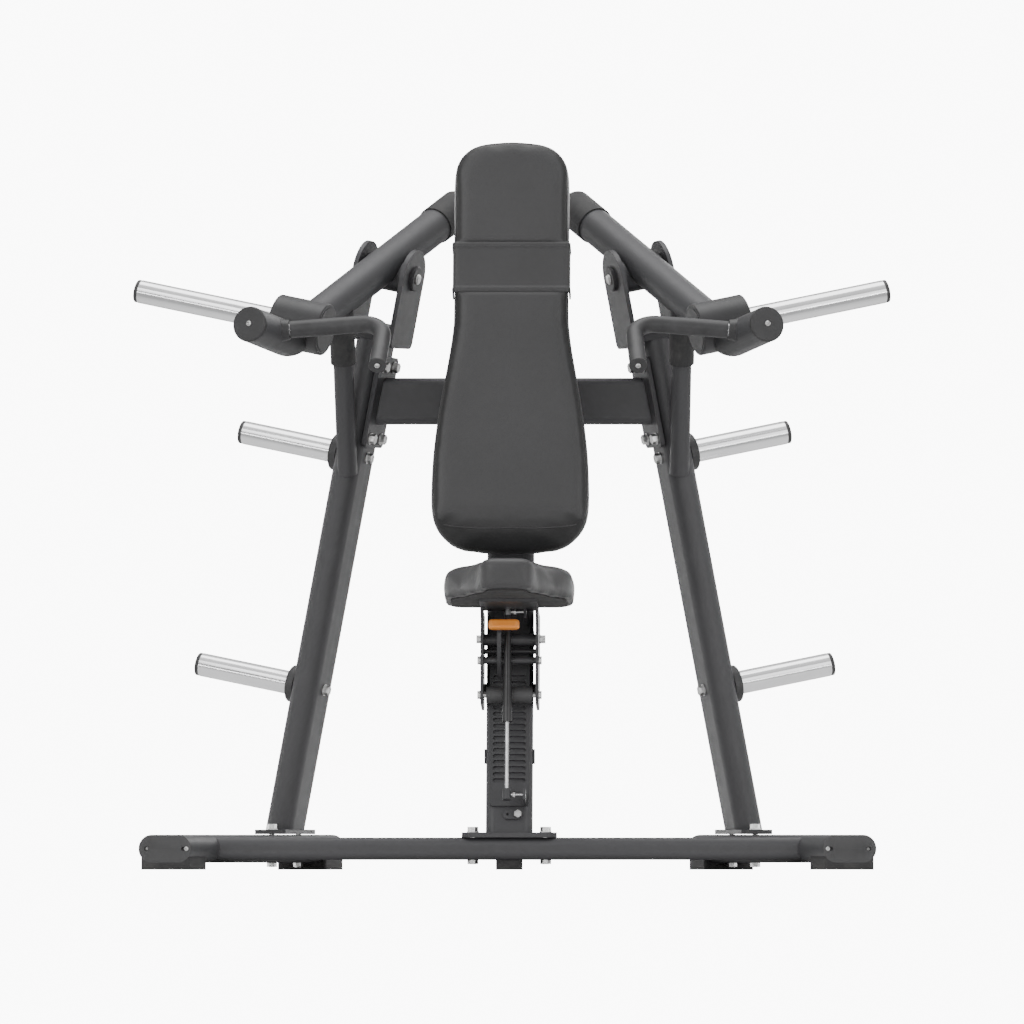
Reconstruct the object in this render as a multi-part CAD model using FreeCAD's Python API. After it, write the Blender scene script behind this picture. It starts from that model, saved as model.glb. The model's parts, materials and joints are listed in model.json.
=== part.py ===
import FreeCAD, Part
import math
import os

from FreeCAD import Placement, Rotation, Vector

os.makedirs("parts", exist_ok=True)

# A plate-loaded chest press. Millimetres, +Z up, -Y is the user's side, +X is the machine's right-hand
# side seen from the front. Everything is laid out with the rails' front end at Y = 0, and moved at the
# end so that the origin is the middle of the machine's footprint, on the floor.

# ---- driving dimensions ---------------------------------------------------------------------------
TOE_IN = 20.0              # the rails run back and inwards by this angle
WALL = 3.0                 # tube wall

OVAL_LONG = 120.0          # flat-oval tube of the rails and uprights
OVAL_SHORT = 60.0
RAIL_FRONT_X = 734.0
RAIL_LENGTH = 912.0
RAIL_Z = 45.0
CAP_FLANGE = 8.0
CAP_PLUG = 22.0
CAP_SCREW_X = 43.0
FOOT_LENGTH = 106.0
FOOT_WIDTH = 111.0
FOOT_HEIGHT = 27.0

FRONT_BAR_Y = 190.0        # crossbar that carries the seat post
FRONT_BAR_DEPTH = 100.0
REAR_BAR_Y = 700.0
REAR_BAR_DEPTH = 60.0
BAR_HEIGHT = 48.0

UPRIGHT_BASE = Vector(491.0, 668.0, 86.0)
UPRIGHT_LEAN_IN = 0.187    # sideways and forward lean, per unit of height
UPRIGHT_LEAN_FORWARD = 0.05
UPRIGHT_LENGTH = 1070.0
BASE_PLATE_THICK = 10.0
BASE_PLATE_LONG = 190.0
BASE_PLATE_WIDE = 70.0

TOP_BAR_HEIGHT = 100.0     # upper crossbar between the uprights
TOP_BAR_DEPTH = 60.0
TOP_BAR_Z = 1003.0
FLANGE_LONG = 196.0
FLANGE_WIDE = 104.0
FLANGE_THICK = 10.0

CHEEK_THICK = 10.0         # pivot cheeks on top of each upright
CHEEK_WIDE = 122.0
CHEEK_GAP = 100.0
CHEEK_OVERHANG = 10.0      # the cheeks reach this far below the upright's top
YOKE_BLOCK_HEIGHT = 34.0
PIVOT_ABOVE_TOP = 143.0
AXLE_RADIUS = 15.0
RUNNING_GAP = 0.05
BUSH_WALL = 5.0
BUSH_LENGTH = 34.0
HOUSING_RADIUS = 36.0
HOUSING_LENGTH = 96.0
BEARING_CAP_RADIUS = 27.0
BEARING_CAP_THICK = 8.0

ARM_RADIUS = 38.0          # arm and forearm tube
ARM_OFFSET = 28.0          # arm axis above the pivot axis
ARM_RISE = 0.80            # arm line, per unit of travel towards the middle of the machine
ARM_RUN_BACK = 1.5
ARM_TUBE_INNER_END = 97.0  # where the rear weight sleeve starts, measured along X from the pivot
SLEEVE_RADIUS = 41.0
SLEEVE_LENGTH = 94.0
SLEEVE_OVERLAP = 40.0
HUB_FROM_PIVOT = 180.0     # where the cross hub sits, measured along X from the pivot
HUB_RADIUS = 56.0
HUB_LENGTH = 114.0
HUB_LIFT = 9.0
HUB_WALL = 9.0
HUB_SPIGOT_LENGTH = 55.0   # how far the horn is let into the hub, on a thinner spigot
HUB_SPIGOT_RADIUS = 24.0
ELBOW_FROM_PIVOT = 203.0
ELBOW_DROP = 6.0
ELBOW_BEND_RADIUS = 80.0
FOREARM_DIRECTION = Vector(0.39, -0.906, 0.165)
FOREARM_LENGTH = 207.0
FOREARM_CAP_THICK = 9.0

HORN_RADIUS = 25.0
HORN_WALL = 3.0
ARM_HORN_LENGTH = 319.0
HORN_TIP_THICK = 8.0
STORE_HORN_LENGTH = 208.0
STORE_FLANGE_RADIUS = 40.0
STORE_FLANGE_THICK = 18.0
STORE_HORN_HEIGHTS = (390.7, 887.4)

SOCKET_FROM_ELBOW = 118.0  # handle socket along the forearm
SOCKET_START = 26.0         # the handle socket, measured from the forearm's axis
SOCKET_END = 47.0
HANDLE_TUBE_START = 24.0
SOCKET_RADIUS_BIG = 25.0
SOCKET_RADIUS_SMALL = 21.5
HANDLE_TUBE_RADIUS = 14.0
HANDLE_GRIP_RADIUS = 18.5
HANDLE_BEND = Vector(266.0, 168.0, 1172.0)
HANDLE_BEND_RADIUS = 48.0
HANDLE_END = Vector(279.0, 42.0, 1083.0)

REST_FOOT = Vector(356.0, 578.0, 868.0)
REST_HEAD = Vector(366.0, 434.0, 1216.0)
REST_RADIUS = 21.5
REST_LENGTH = 250.0
BUMPER_RADIUS = 27.0
BUMPER_START = 236.0
BUMPER_GAP = 0.4

POST_WIDE = 100.0          # seat post
POST_DEEP = 60.0
POST_CORNER = 18.0
POST_LEAN = 15.0
POST_LENGTH = 1230.0
POST_FOOT = Vector(0.0, 190.0, 80.0)
POST_PLATE_WIDE = 202.0
POST_PLATE_DEEP = 110.0
POST_PLATE_THICK = 11.0
POST_PLATE_CHAMFER = 14.0

RACK_WIDE = 86.0
RACK_THICK = 6.0
RACK_START = 49.0
RACK_LENGTH = 400.0
SLOT_PITCH = 13.4
SLOT_COUNT = 18
SLOT_WIDE = 70.0
SLOT_HEIGHT = 9.0
SLOT_FIRST = 106.0

GAS_X = -4.0               # gas spring in front of the rack
GAS_OUT = 86.0
GAS_CYLINDER_RADIUS = 10.5
GAS_NECK_RADIUS = 6.5
GAS_WALL = 1.2
GAS_ROD_RADIUS = 4.3
GAS_PISTON_RADIUS = 5.0
GAS_PISTON_LENGTH = 12.0
GAS_CYLINDER_BOTTOM = 222.0
GAS_TAPER_BOTTOM = 252.0
GAS_TAPER_TOP = 420.0
GAS_CYLINDER_TOP = 458.0
GAS_ROD_BOTTOM = 73.0
GAS_ROD_TOP = 240.0
GAS_END_RADIUS = 9.5
GAS_END_LENGTH = 24.0
GAS_TOP_END_LENGTH = 15.0

STUD_BALL = 5.0            # ball stud that holds either end of the gas spring
STUD_SHANK = 2.8
STUD_FLANGE = 7.5
STUD_FLANGE_THICK = 5.0
LUG_X = 30.5
LUG_THICK = 6.0
LUG_TALL = 26.0
LUG_BEYOND = 9.0           # how far a lug reaches past its stud
BOSS_LONG = 40.0           # small oval boss low on the post
BOSS_WIDE = 20.0
BOSS_THICK = 6.0
BOSS_X = 7.0
BOSS_Z = 117.0
BOSS_HOLE_X = -3.0
BOSS_BOLT_X = 19.0
STOP_RADIUS = 16.0
STOP_THICK = 4.0
STOP_S = 168.0

SIDE_PLATE_X = 56.0        # carriage that slides on the post
SIDE_PLATE_THICK = 6.0
CARRIAGE_BOTTOM = 268.0
CARRIAGE_TOP = 505.0
ROLLER_RADIUS = 18.0
ROLLER_BORE = 6.05
ROLLER_PIN = 6.0
ROLLER_GAP = 0.5
ROLLER_HALF = 50.0
FRONT_ROLLER_S = 290.0
REAR_ROLLER_S = 441.0

LEVER_X = -22.0
LEVER_THICK = 9.0
LEVER_PIVOT_S = 364.0
LEVER_PIVOT_OUT = 64.0
LEVER_PIN = 6.0
LEVER_SLEEVE = 7.5

SEAT_FRONT_Y = -105.0
SEAT_REAR_Y = 276.0
SEAT_TILT = 6.0
SEAT_NOSE_TOP = 667.0
SEAT_THICK = 68.0
SEAT_HALF_NOSE = 60.0
SEAT_HALF_WING = 139.0
SEAT_BOARD_THICK = 12.0
SEAT_BOARD_INSET = 16.0
SEAT_CORNER = 30.0

BACK_BOTTOM_Z = 679.0
BACK_TOP_Z = 1554.0
BACK_THICK = 62.0
BACK_BOARD_THICK = 14.0
BACK_BOARD_INSET = 10.0
BACK_CREASE_Z = 749.0
BACK_BEVEL = 30.0
BACK_BRACKET_DEEP = 22.0
BACK_BRACKET_HEIGHTS = (900.0, 1180.0)
BACK_HALF_HEAD = 123.0
BACK_HALF_HIP = 170.0
BAND_BOTTOM_Z = 1237.0
BAND_TOP_Z = 1345.0
BAND_THICK = 4.0

BOLT_RADIUS = 6.0
BOLT_HEAD_FLATS = 19.0
BOLT_HEAD_HEIGHT = 12.0
BOLT_FLANGE_RADIUS = 12.5
BOLT_FLANGE_THICK = 2.0
BUTTON_RADIUS = 11.0
BUTTON_HEIGHT = 5.0
SMALL_HEAD_FLATS = 15.0
BOLT_CLEARANCE = 0.3


# ---- small geometry helpers -----------------------------------------------------------------------
def unit(v):
    return v * (1.0 / v.Length)


def oriented(shape, origin, x_axis, z_axis):
    """The shape, drawn about its own axes, set down with its X and Z along the given directions."""
    placed = shape.copy()
    placed.Placement = Placement(origin, Rotation(x_axis, Vector(), z_axis, "ZXY"))
    return placed


def mirrored(shape):
    return shape.mirror(Vector(0, 0, 0), Vector(1, 0, 0))


def both_sides(shape):
    return [shape, mirrored(shape)]


def rounded_wire(length, width, radius):
    """A centred rectangle along X and Y with round corners, or a flat oval if radius is half the width."""
    a = length / 2.0
    b = width / 2.0
    if radius > b - 0.01:
        straight = a - b
        return Part.Wire([
            Part.LineSegment(Vector(-straight, -b, 0), Vector(straight, -b, 0)).toShape(),
            Part.Arc(Vector(straight, -b, 0), Vector(a, 0, 0), Vector(straight, b, 0)).toShape(),
            Part.LineSegment(Vector(straight, b, 0), Vector(-straight, b, 0)).toShape(),
            Part.Arc(Vector(-straight, b, 0), Vector(-a, 0, 0), Vector(-straight, -b, 0)).toShape(),
        ])
    r = radius
    k = r * (1.0 - math.sqrt(0.5))
    return Part.Wire([
        Part.LineSegment(Vector(-a + r, -b, 0), Vector(a - r, -b, 0)).toShape(),
        Part.Arc(Vector(a - r, -b, 0), Vector(a - k, -b + k, 0), Vector(a, -b + r, 0)).toShape(),
        Part.LineSegment(Vector(a, -b + r, 0), Vector(a, b - r, 0)).toShape(),
        Part.Arc(Vector(a, b - r, 0), Vector(a - k, b - k, 0), Vector(a - r, b, 0)).toShape(),
        Part.LineSegment(Vector(a - r, b, 0), Vector(-a + r, b, 0)).toShape(),
        Part.Arc(Vector(-a + r, b, 0), Vector(-a + k, b - k, 0), Vector(-a, b - r, 0)).toShape(),
        Part.LineSegment(Vector(-a, b - r, 0), Vector(-a, -b + r, 0)).toShape(),
        Part.Arc(Vector(-a, -b + r, 0), Vector(-a + k, -b + k, 0), Vector(-a + r, -b, 0)).toShape(),
    ])


def rounded_bar(length, width, radius, height):
    return Part.Face(rounded_wire(length, width, radius)).extrude(Vector(0, 0, height))


def rounded_tube(length, width, radius, height):
    outer = rounded_bar(length, width, radius, height)
    inner = rounded_bar(length - 2 * WALL, width - 2 * WALL, radius - WALL, height)
    return outer.cut(inner)


def oval_bar(height, grow=0.0):
    return rounded_bar(OVAL_LONG + 2 * grow, OVAL_SHORT + 2 * grow, OVAL_SHORT / 2.0 + grow, height)


def rod(start, end, radius):
    return Part.makeCylinder(radius, (end - start).Length, start, end - start)


def ring(start, end, outer, inner):
    return rod(start, end, outer).cut(rod(start, end, inner))


def centred_box(x, y, z):
    return Part.makeBox(x, y, z, Vector(-x / 2.0, -y / 2.0, -z / 2.0))


def hex_prism(flats, height):
    corner = flats / math.sqrt(3.0)
    points = [Vector(corner * math.cos(math.radians(60 * i)), corner * math.sin(math.radians(60 * i)), 0)
              for i in range(7)]
    return Part.Face(Part.makePolygon(points)).extrude(Vector(0, 0, height))


def any_side(axis):
    return axis.cross(Vector(0, 1, 0)) if abs(axis.y) < 0.8 else axis.cross(Vector(1, 0, 0))


def hex_head(seat, outward, height=BOLT_HEAD_HEIGHT, flats=BOLT_HEAD_FLATS):
    return oriented(hex_prism(flats, height), seat, any_side(outward), outward)


def bolt(seat, outward, shank):
    """A flanged hex bolt whose head stands on seat and whose shank runs the other way."""
    flange = rod(seat, seat + outward * BOLT_FLANGE_THICK, BOLT_FLANGE_RADIUS)
    return hex_head(seat, outward).fuse(flange).fuse(rod(seat, seat - outward * shank, BOLT_RADIUS))


def button_bolt(seat, outward, shank):
    """A bolt with a low round head."""
    top = seat + outward * BUTTON_HEIGHT
    head = rod(seat, top, BUTTON_RADIUS)
    head = head.makeFillet(3.5, [edge for edge in head.Edges if (edge.CenterOfMass - top).Length < 0.1])
    return head.fuse(rod(seat, seat - outward * shank, BOLT_RADIUS))


def bolt_hole(seat, outward, shank):
    return rod(seat + outward * 0.5, seat - outward * (shank + 0.5), BOLT_RADIUS + BOLT_CLEARANCE)


def nut(seat, outward):
    body = hex_head(seat, outward, 9.0)
    return body.cut(rod(seat - outward, seat + outward * 10.0, BOLT_RADIUS))


def bent_rod(points, radii, radius):
    """A round bar through the points, with tangent arcs of the given radii at the inner points."""
    edges = []
    last = points[0]
    for i in range(1, len(points) - 1):
        before = unit(points[i - 1] - points[i])
        after = unit(points[i + 1] - points[i])
        half = math.acos(max(-1.0, min(1.0, before.dot(after)))) / 2.0
        leg = radii[i - 1] / math.tan(half)
        start = points[i] + before * leg
        end = points[i] + after * leg
        centre = points[i] + unit(before + after) * (radii[i - 1] / math.sin(half))
        middle = centre + unit(points[i] - centre) * radii[i - 1]
        edges.append(Part.LineSegment(last, start).toShape())
        edges.append(Part.Arc(start, middle, end).toShape())
        last = end
    edges.append(Part.LineSegment(last, points[-1]).toShape())
    path = Part.Wire(edges)
    circle = Part.Wire(Part.makeCircle(radius, points[0], points[1] - points[0]))
    return path.makePipeShell([circle], True, False)


NODES = {}


def add(name, shapes):
    """Keep the solids of one node."""
    group = shapes if isinstance(shapes, list) else [shapes]
    solids = [solid for shape in group for solid in shape.Solids]
    NODES[name] = solids


# ---- directions shared by the right-hand side -----------------------------------------------------
UP = Vector(0, 0, 1)
ACROSS = Vector(1, 0, 0)
RAIL_BACK = Vector(-math.sin(math.radians(TOE_IN)), math.cos(math.radians(TOE_IN)), 0)
RAIL_SIDE = Vector(math.cos(math.radians(TOE_IN)), math.sin(math.radians(TOE_IN)), 0)
UPRIGHT_UP = unit(Vector(-UPRIGHT_LEAN_IN, -UPRIGHT_LEAN_FORWARD, 1.0))
FACE_OUT = unit(RAIL_SIDE - UPRIGHT_UP * RAIL_SIDE.dot(UPRIGHT_UP))   # square to the upright's flat face
FACE_BACK = UPRIGHT_UP.cross(FACE_OUT)
UPRIGHT_TOP = UPRIGHT_BASE + UPRIGHT_UP * UPRIGHT_LENGTH
PIVOT = UPRIGHT_TOP + UPRIGHT_UP * PIVOT_ABOVE_TOP
ARM_BACK = unit(Vector(-1.0, ARM_RUN_BACK, ARM_RISE))
ARM_LIFT = unit(FACE_OUT.cross(ARM_BACK)) * ARM_OFFSET
ARM_ORIGIN = PIVOT + ARM_LIFT
ARM_PER_X = Vector(-1.0, ARM_RUN_BACK, ARM_RISE)


def rail_point(along, z=RAIL_Z):
    return Vector(RAIL_FRONT_X, 0, z) + RAIL_BACK * along


def on_rail(shape, along, z=RAIL_Z):
    """Local X across the rail, local Z back along it."""
    return oriented(shape, rail_point(along, z), RAIL_SIDE, RAIL_BACK)


def upright_point(out, back, up):
    return UPRIGHT_BASE + FACE_OUT * out + FACE_BACK * back + UPRIGHT_UP * up


def on_upright(shape, out, back, up):
    """Local X out of the upright's flat face, local Y back, local Z up along it."""
    return oriented(shape, upright_point(out, back, up), FACE_OUT, UPRIGHT_UP)


def upright_height(z):
    return (z - UPRIGHT_BASE.z) / UPRIGHT_UP.z


# ---- base -----------------------------------------------------------------------------------------
RAIL_SOLID = on_rail(oval_bar(RAIL_LENGTH), 0.0)


def base_bolts():
    """Head seat, outward direction and shank length of the bolts through the base plates."""
    bolts = []
    plate_top = UPRIGHT_BASE.z
    for along in (-78.0, 78.0):
        seat = UPRIGHT_BASE + RAIL_BACK * along
        seat.z = plate_top
        bolts.append((seat, UP, plate_top - RAIL_Z + OVAL_SHORT / 2.0 + 9.5))
    return bolts


def post_bolts():
    top = POST_FOOT.z
    length = top - RAIL_Z + BAR_HEIGHT / 2.0 + 9.5
    return [(Vector(x, POST_FOOT.y + y, top), UP, length) for x in (-78.0, 78.0) for y in (-32.0, 32.0)]


def drill(shape, bolts):
    for seat, outward, shank in bolts:
        shape = shape.cut(bolt_hole(seat, outward, shank))
    return shape


def make_base():
    tube = rounded_tube(OVAL_LONG, OVAL_SHORT, OVAL_SHORT / 2.0, RAIL_LENGTH - 2 * CAP_FLANGE)
    rail = drill(on_rail(tube, CAP_FLANGE), base_bolts())
    add("rail_right", rail)
    add("rail_left", mirrored(rail))

    flange = rounded_bar(OVAL_LONG, OVAL_SHORT, OVAL_SHORT / 2.0, CAP_FLANGE)
    plug = rounded_bar(OVAL_LONG - 2 * WALL, OVAL_SHORT - 2 * WALL, OVAL_SHORT / 2.0 - WALL, CAP_PLUG)
    plug.translate(Vector(0, 0, CAP_FLANGE))
    cap = flange.fuse(plug).removeSplitter()
    rear_cap = on_rail(cap, RAIL_LENGTH)
    rear_cap.rotate(rail_point(RAIL_LENGTH), UP, 180.0)
    for x in (-CAP_SCREW_X, CAP_SCREW_X):
        cap = cap.cut(Part.makeCylinder(4.5, 5.0, Vector(x, 0, 0)))
    front_cap = on_rail(cap, 0.0)
    add("rail_end_caps", both_sides(front_cap) + both_sides(rear_cap))

    bars = []
    for y, depth in ((FRONT_BAR_Y, FRONT_BAR_DEPTH), (REAR_BAR_Y, REAR_BAR_DEPTH)):
        half = rail_point(y / RAIL_BACK.y).x
        bar = rounded_tube(depth, BAR_HEIGHT, 16.0, 2 * half)
        bar = oriented(bar, Vector(-half, y, RAIL_Z), Vector(0, 1, 0), ACROSS)
        for rail_solid in both_sides(RAIL_SOLID):
            bar = bar.cut(rail_solid)
        bars.append(drill(bar, post_bolts()))
    add("base_crossbars", bars)

    foot = rounded_bar(FOOT_WIDTH, FOOT_LENGTH, 6.0, FOOT_HEIGHT)
    feet = []
    for along in (FOOT_LENGTH / 2.0, RAIL_LENGTH - FOOT_LENGTH / 2.0):
        placed = oriented(foot, rail_point(along, 0.0), RAIL_SIDE, UP).cut(RAIL_SOLID)
        feet += both_sides(placed)
    low = RAIL_Z - BAR_HEIGHT / 2.0
    feet.append(oriented(rounded_bar(56.0, 70.0, 8.0, low), Vector(0, FRONT_BAR_Y, 0), ACROSS, UP))
    add("rubber_feet", feet)


# ---- uprights and upper crossbar ------------------------------------------------------------------
def horn_bolts():
    """Each storage horn is held by a bolt through the upright from its inner face."""
    bolts = []
    for z in STORE_HORN_HEIGHTS:
        bolts.append((upright_point(-OVAL_SHORT / 2.0, 0, upright_height(z)), FACE_OUT * -1.0, 100.0))
    return bolts


def flange_bolts():
    bolts = []
    seat_out = -OVAL_SHORT / 2.0 - FLANGE_THICK
    middle = upright_height(TOP_BAR_Z + 4.0)
    for up in (-78.0, 78.0):
        for back in (-30.0, 30.0):
            bolts.append((upright_point(seat_out, back, middle + up), FACE_OUT * -1.0, 30.0))
    return bolts


def make_uprights():
    tube = rounded_tube(OVAL_LONG, OVAL_SHORT, OVAL_SHORT / 2.0, UPRIGHT_LENGTH + 60.0)
    upright = oriented(tube, UPRIGHT_BASE - UPRIGHT_UP * 60.0, FACE_BACK, UPRIGHT_UP)
    below = centred_box(600.0, 600.0, 200.0)
    below.translate(Vector(UPRIGHT_BASE.x, UPRIGHT_BASE.y, UPRIGHT_BASE.z - 100.0))
    upright = upright.cut(below)
    upright = drill(upright, horn_bolts() + flange_bolts() + base_bolts())
    for seat, outward, shank in base_bolts():
        upright = upright.cut(rod(seat, seat + outward * 12.0, 12.5))
    add("upright_right", upright)
    add("upright_left", mirrored(upright))

    plate = rounded_bar(BASE_PLATE_WIDE, BASE_PLATE_LONG, 8.0, BASE_PLATE_THICK)
    base = UPRIGHT_BASE - UP * BASE_PLATE_THICK
    base_plate = drill(oriented(plate, base, RAIL_SIDE, UP), base_bolts())
    base_plate = base_plate.cut(RAIL_SOLID)

    half_wide = POST_PLATE_WIDE / 2.0
    half_deep = POST_PLATE_DEEP / 2.0
    corner = POST_PLATE_CHAMFER
    outline = [Vector(-half_wide, half_deep, 0), Vector(half_wide, half_deep, 0),
               Vector(half_wide, -half_deep + corner, 0), Vector(half_wide - corner, -half_deep, 0),
               Vector(-half_wide + corner, -half_deep, 0), Vector(-half_wide, -half_deep + corner, 0),
               Vector(-half_wide, half_deep, 0)]
    post_plate = Part.Face(Part.makePolygon(outline)).extrude(Vector(0, 0, POST_PLATE_THICK))
    post_plate.translate(Vector(0, POST_FOOT.y, POST_FOOT.z - POST_PLATE_THICK))
    add("base_plates", both_sides(base_plate) + [drill(post_plate, post_bolts())])

    flange = rounded_bar(FLANGE_WIDE, FLANGE_LONG, 12.0, FLANGE_THICK)
    face_seat = upright_point(-OVAL_SHORT / 2.0, 0, upright_height(TOP_BAR_Z + 4.0))
    flange = drill(oriented(flange, face_seat, FACE_BACK, FACE_OUT * -1.0), flange_bolts())
    add("crossbar_flanges", both_sides(flange))

    at = upright_point(0, 0, upright_height(TOP_BAR_Z))
    bar = rounded_tube(TOP_BAR_DEPTH, TOP_BAR_HEIGHT, 14.0, 2 * at.x)
    bar = oriented(bar, Vector(-at.x, at.y, TOP_BAR_Z), Vector(0, 1, 0), ACROSS)
    beyond = centred_box(400.0, 600.0, 800.0)
    reach = 200.0 - OVAL_SHORT / 2.0 - FLANGE_THICK
    beyond = on_upright(beyond, reach, 0, upright_height(TOP_BAR_Z))
    for shape in both_sides(beyond):
        bar = bar.cut(shape)
    add("upper_crossbar", bar)


# ---- pivots ---------------------------------------------------------------------------------------
def make_pivots():
    drop = PIVOT_ABOVE_TOP + CHEEK_OVERHANG
    leg = Part.makeBox(CHEEK_WIDE, drop, CHEEK_THICK, Vector(-CHEEK_WIDE / 2.0, -drop, 0))
    leg = leg.makeFillet(14.0, [leg.Edges[i] for i in range(len(leg.Edges))
                                if abs(leg.Edges[i].CenterOfMass.y + drop) < 0.1
                                and abs(leg.Edges[i].CenterOfMass.z - CHEEK_THICK / 2.0) < 0.1])
    cheek = Part.makeCylinder(CHEEK_WIDE / 2.0, CHEEK_THICK).fuse(leg).removeSplitter()
    cheek = cheek.cut(Part.makeCylinder(AXLE_RADIUS, CHEEK_THICK))
    half_gap = CHEEK_GAP / 2.0
    cheeks = []
    axles = []
    caps = []
    for side in (-1.0, 1.0):
        low = min(side * half_gap, side * (half_gap + CHEEK_THICK))
        placed = oriented(cheek, PIVOT + FACE_OUT * low, FACE_BACK, FACE_OUT)
        cheeks.append(placed)
        outer = PIVOT + FACE_OUT * (side * (half_gap + CHEEK_THICK))
        cap = rod(outer, outer + FACE_OUT * (side * BEARING_CAP_THICK), BEARING_CAP_RADIUS)
        cap = cap.makeFillet(2.5, [edge for edge in cap.Edges
                                   if abs((edge.CenterOfMass - outer).Length - BEARING_CAP_THICK) < 0.1])
        caps.append(cap.cut(bolt_hole(outer + FACE_OUT * (side * BEARING_CAP_THICK), FACE_OUT * side, 34.0)))
    reach = half_gap + CHEEK_THICK
    axle = rod(PIVOT - FACE_OUT * reach, PIVOT + FACE_OUT * reach, AXLE_RADIUS)
    axles.append(drill(axle, axle_bolts()))
    block = rounded_bar(CHEEK_GAP, CHEEK_WIDE - 8.0, 4.0, YOKE_BLOCK_HEIGHT)
    cheeks.append(on_upright(block, 0, 0, UPRIGHT_LENGTH))
    add("pivot_yokes", [solid for cheek_solid in cheeks for solid in both_sides(cheek_solid)])
    add("pivot_axles", [solid for axle_solid in axles for solid in both_sides(axle_solid)])
    add("bearing_caps", [solid for cap_solid in caps for solid in both_sides(cap_solid)])


def axle_bolts():
    reach = CHEEK_GAP / 2.0 + CHEEK_THICK + BEARING_CAP_THICK
    return [(PIVOT + FACE_OUT * (side * reach), FACE_OUT * side, 34.0) for side in (-1.0, 1.0)]


# ---- rest posts -----------------------------------------------------------------------------------
REST_UP = unit(REST_HEAD - REST_FOOT)


def make_rests():
    upright_full = oriented(oval_bar(UPRIGHT_LENGTH), UPRIGHT_BASE, FACE_BACK, UPRIGHT_UP)
    start = REST_FOOT - REST_UP * 20.0
    post = ring(start, REST_FOOT + REST_UP * REST_LENGTH, REST_RADIUS, REST_RADIUS - WALL)
    add("rest_posts", both_sides(post.cut(upright_full)))

    cup_base = REST_FOOT + REST_UP * BUMPER_START
    bumper = rod(cup_base, cup_base + REST_UP * 140.0, BUMPER_RADIUS)
    bumper = bumper.cut(rod(cup_base, REST_FOOT + REST_UP * REST_LENGTH, REST_RADIUS))
    arm_front = ARM_ORIGIN - ARM_PER_X * HUB_FROM_PIVOT
    arm_room = rod(arm_front, ARM_ORIGIN + ARM_PER_X * ARM_TUBE_INNER_END, ARM_RADIUS + BUMPER_GAP)
    pieces = bumper.cut(arm_room).Solids
    bumper = min(pieces, key=lambda solid: solid.CenterOfMass.z)
    add("rest_bumpers", both_sides(bumper))


# ---- storage horns --------------------------------------------------------------------------------
def horn_tube(start, axis, length):
    return ring(start, start + axis * length, HORN_RADIUS, HORN_RADIUS - HORN_WALL)


def horn_tip(start, axis):
    flange = rod(start, start + axis * HORN_TIP_THICK, HORN_RADIUS - 0.5)
    plug = rod(start - axis * 20.0, start, HORN_RADIUS - HORN_WALL)
    return flange.fuse(plug)


def make_storage_horns():
    horns = []
    discs = []
    tips = []
    for z, hole in zip(STORE_HORN_HEIGHTS, horn_bolts()):
        face = upright_point(OVAL_SHORT / 2.0, 0, upright_height(z))
        disc_end = face + FACE_OUT * STORE_FLANGE_THICK
        horn_end = disc_end + FACE_OUT * STORE_HORN_LENGTH
        disc = rod(face, disc_end, STORE_FLANGE_RADIUS)
        rim = [edge for edge in disc.Edges if (edge.CenterOfMass - disc_end).Length < 0.1]
        disc = disc.makeFillet(5.0, rim)
        discs += both_sides(drill(disc, [hole]))
        horns += both_sides(horn_tube(disc_end, FACE_OUT, STORE_HORN_LENGTH))
        tips += both_sides(horn_tip(horn_end, FACE_OUT))
    add("storage_horns", horns)
    add("horn_discs_and_tips", discs + tips)


# ---- seat post, rack and gas spring ---------------------------------------------------------------
LEAN = math.radians(POST_LEAN)
POST_UP = Vector(0, math.sin(LEAN), math.cos(LEAN))
POST_OUT = Vector(0, -math.cos(LEAN), math.sin(LEAN))      # square to the post's front face


def post_point(x, out, up):
    return POST_FOOT + Vector(x, 0, 0) + POST_OUT * out + POST_UP * up


def on_post(shape, x, out, up):
    """Local X is the machine's X, local Y is backwards through the post, local Z up along it."""
    return oriented(shape, post_point(x, out, up), ACROSS, POST_UP)


def post_height(z, out=0.0):
    return (z - POST_FOOT.z - POST_OUT.z * out) / POST_UP.z


def slot_bar(width, height, depth):
    return rounded_bar(width, height, height / 2.0, depth)


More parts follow.
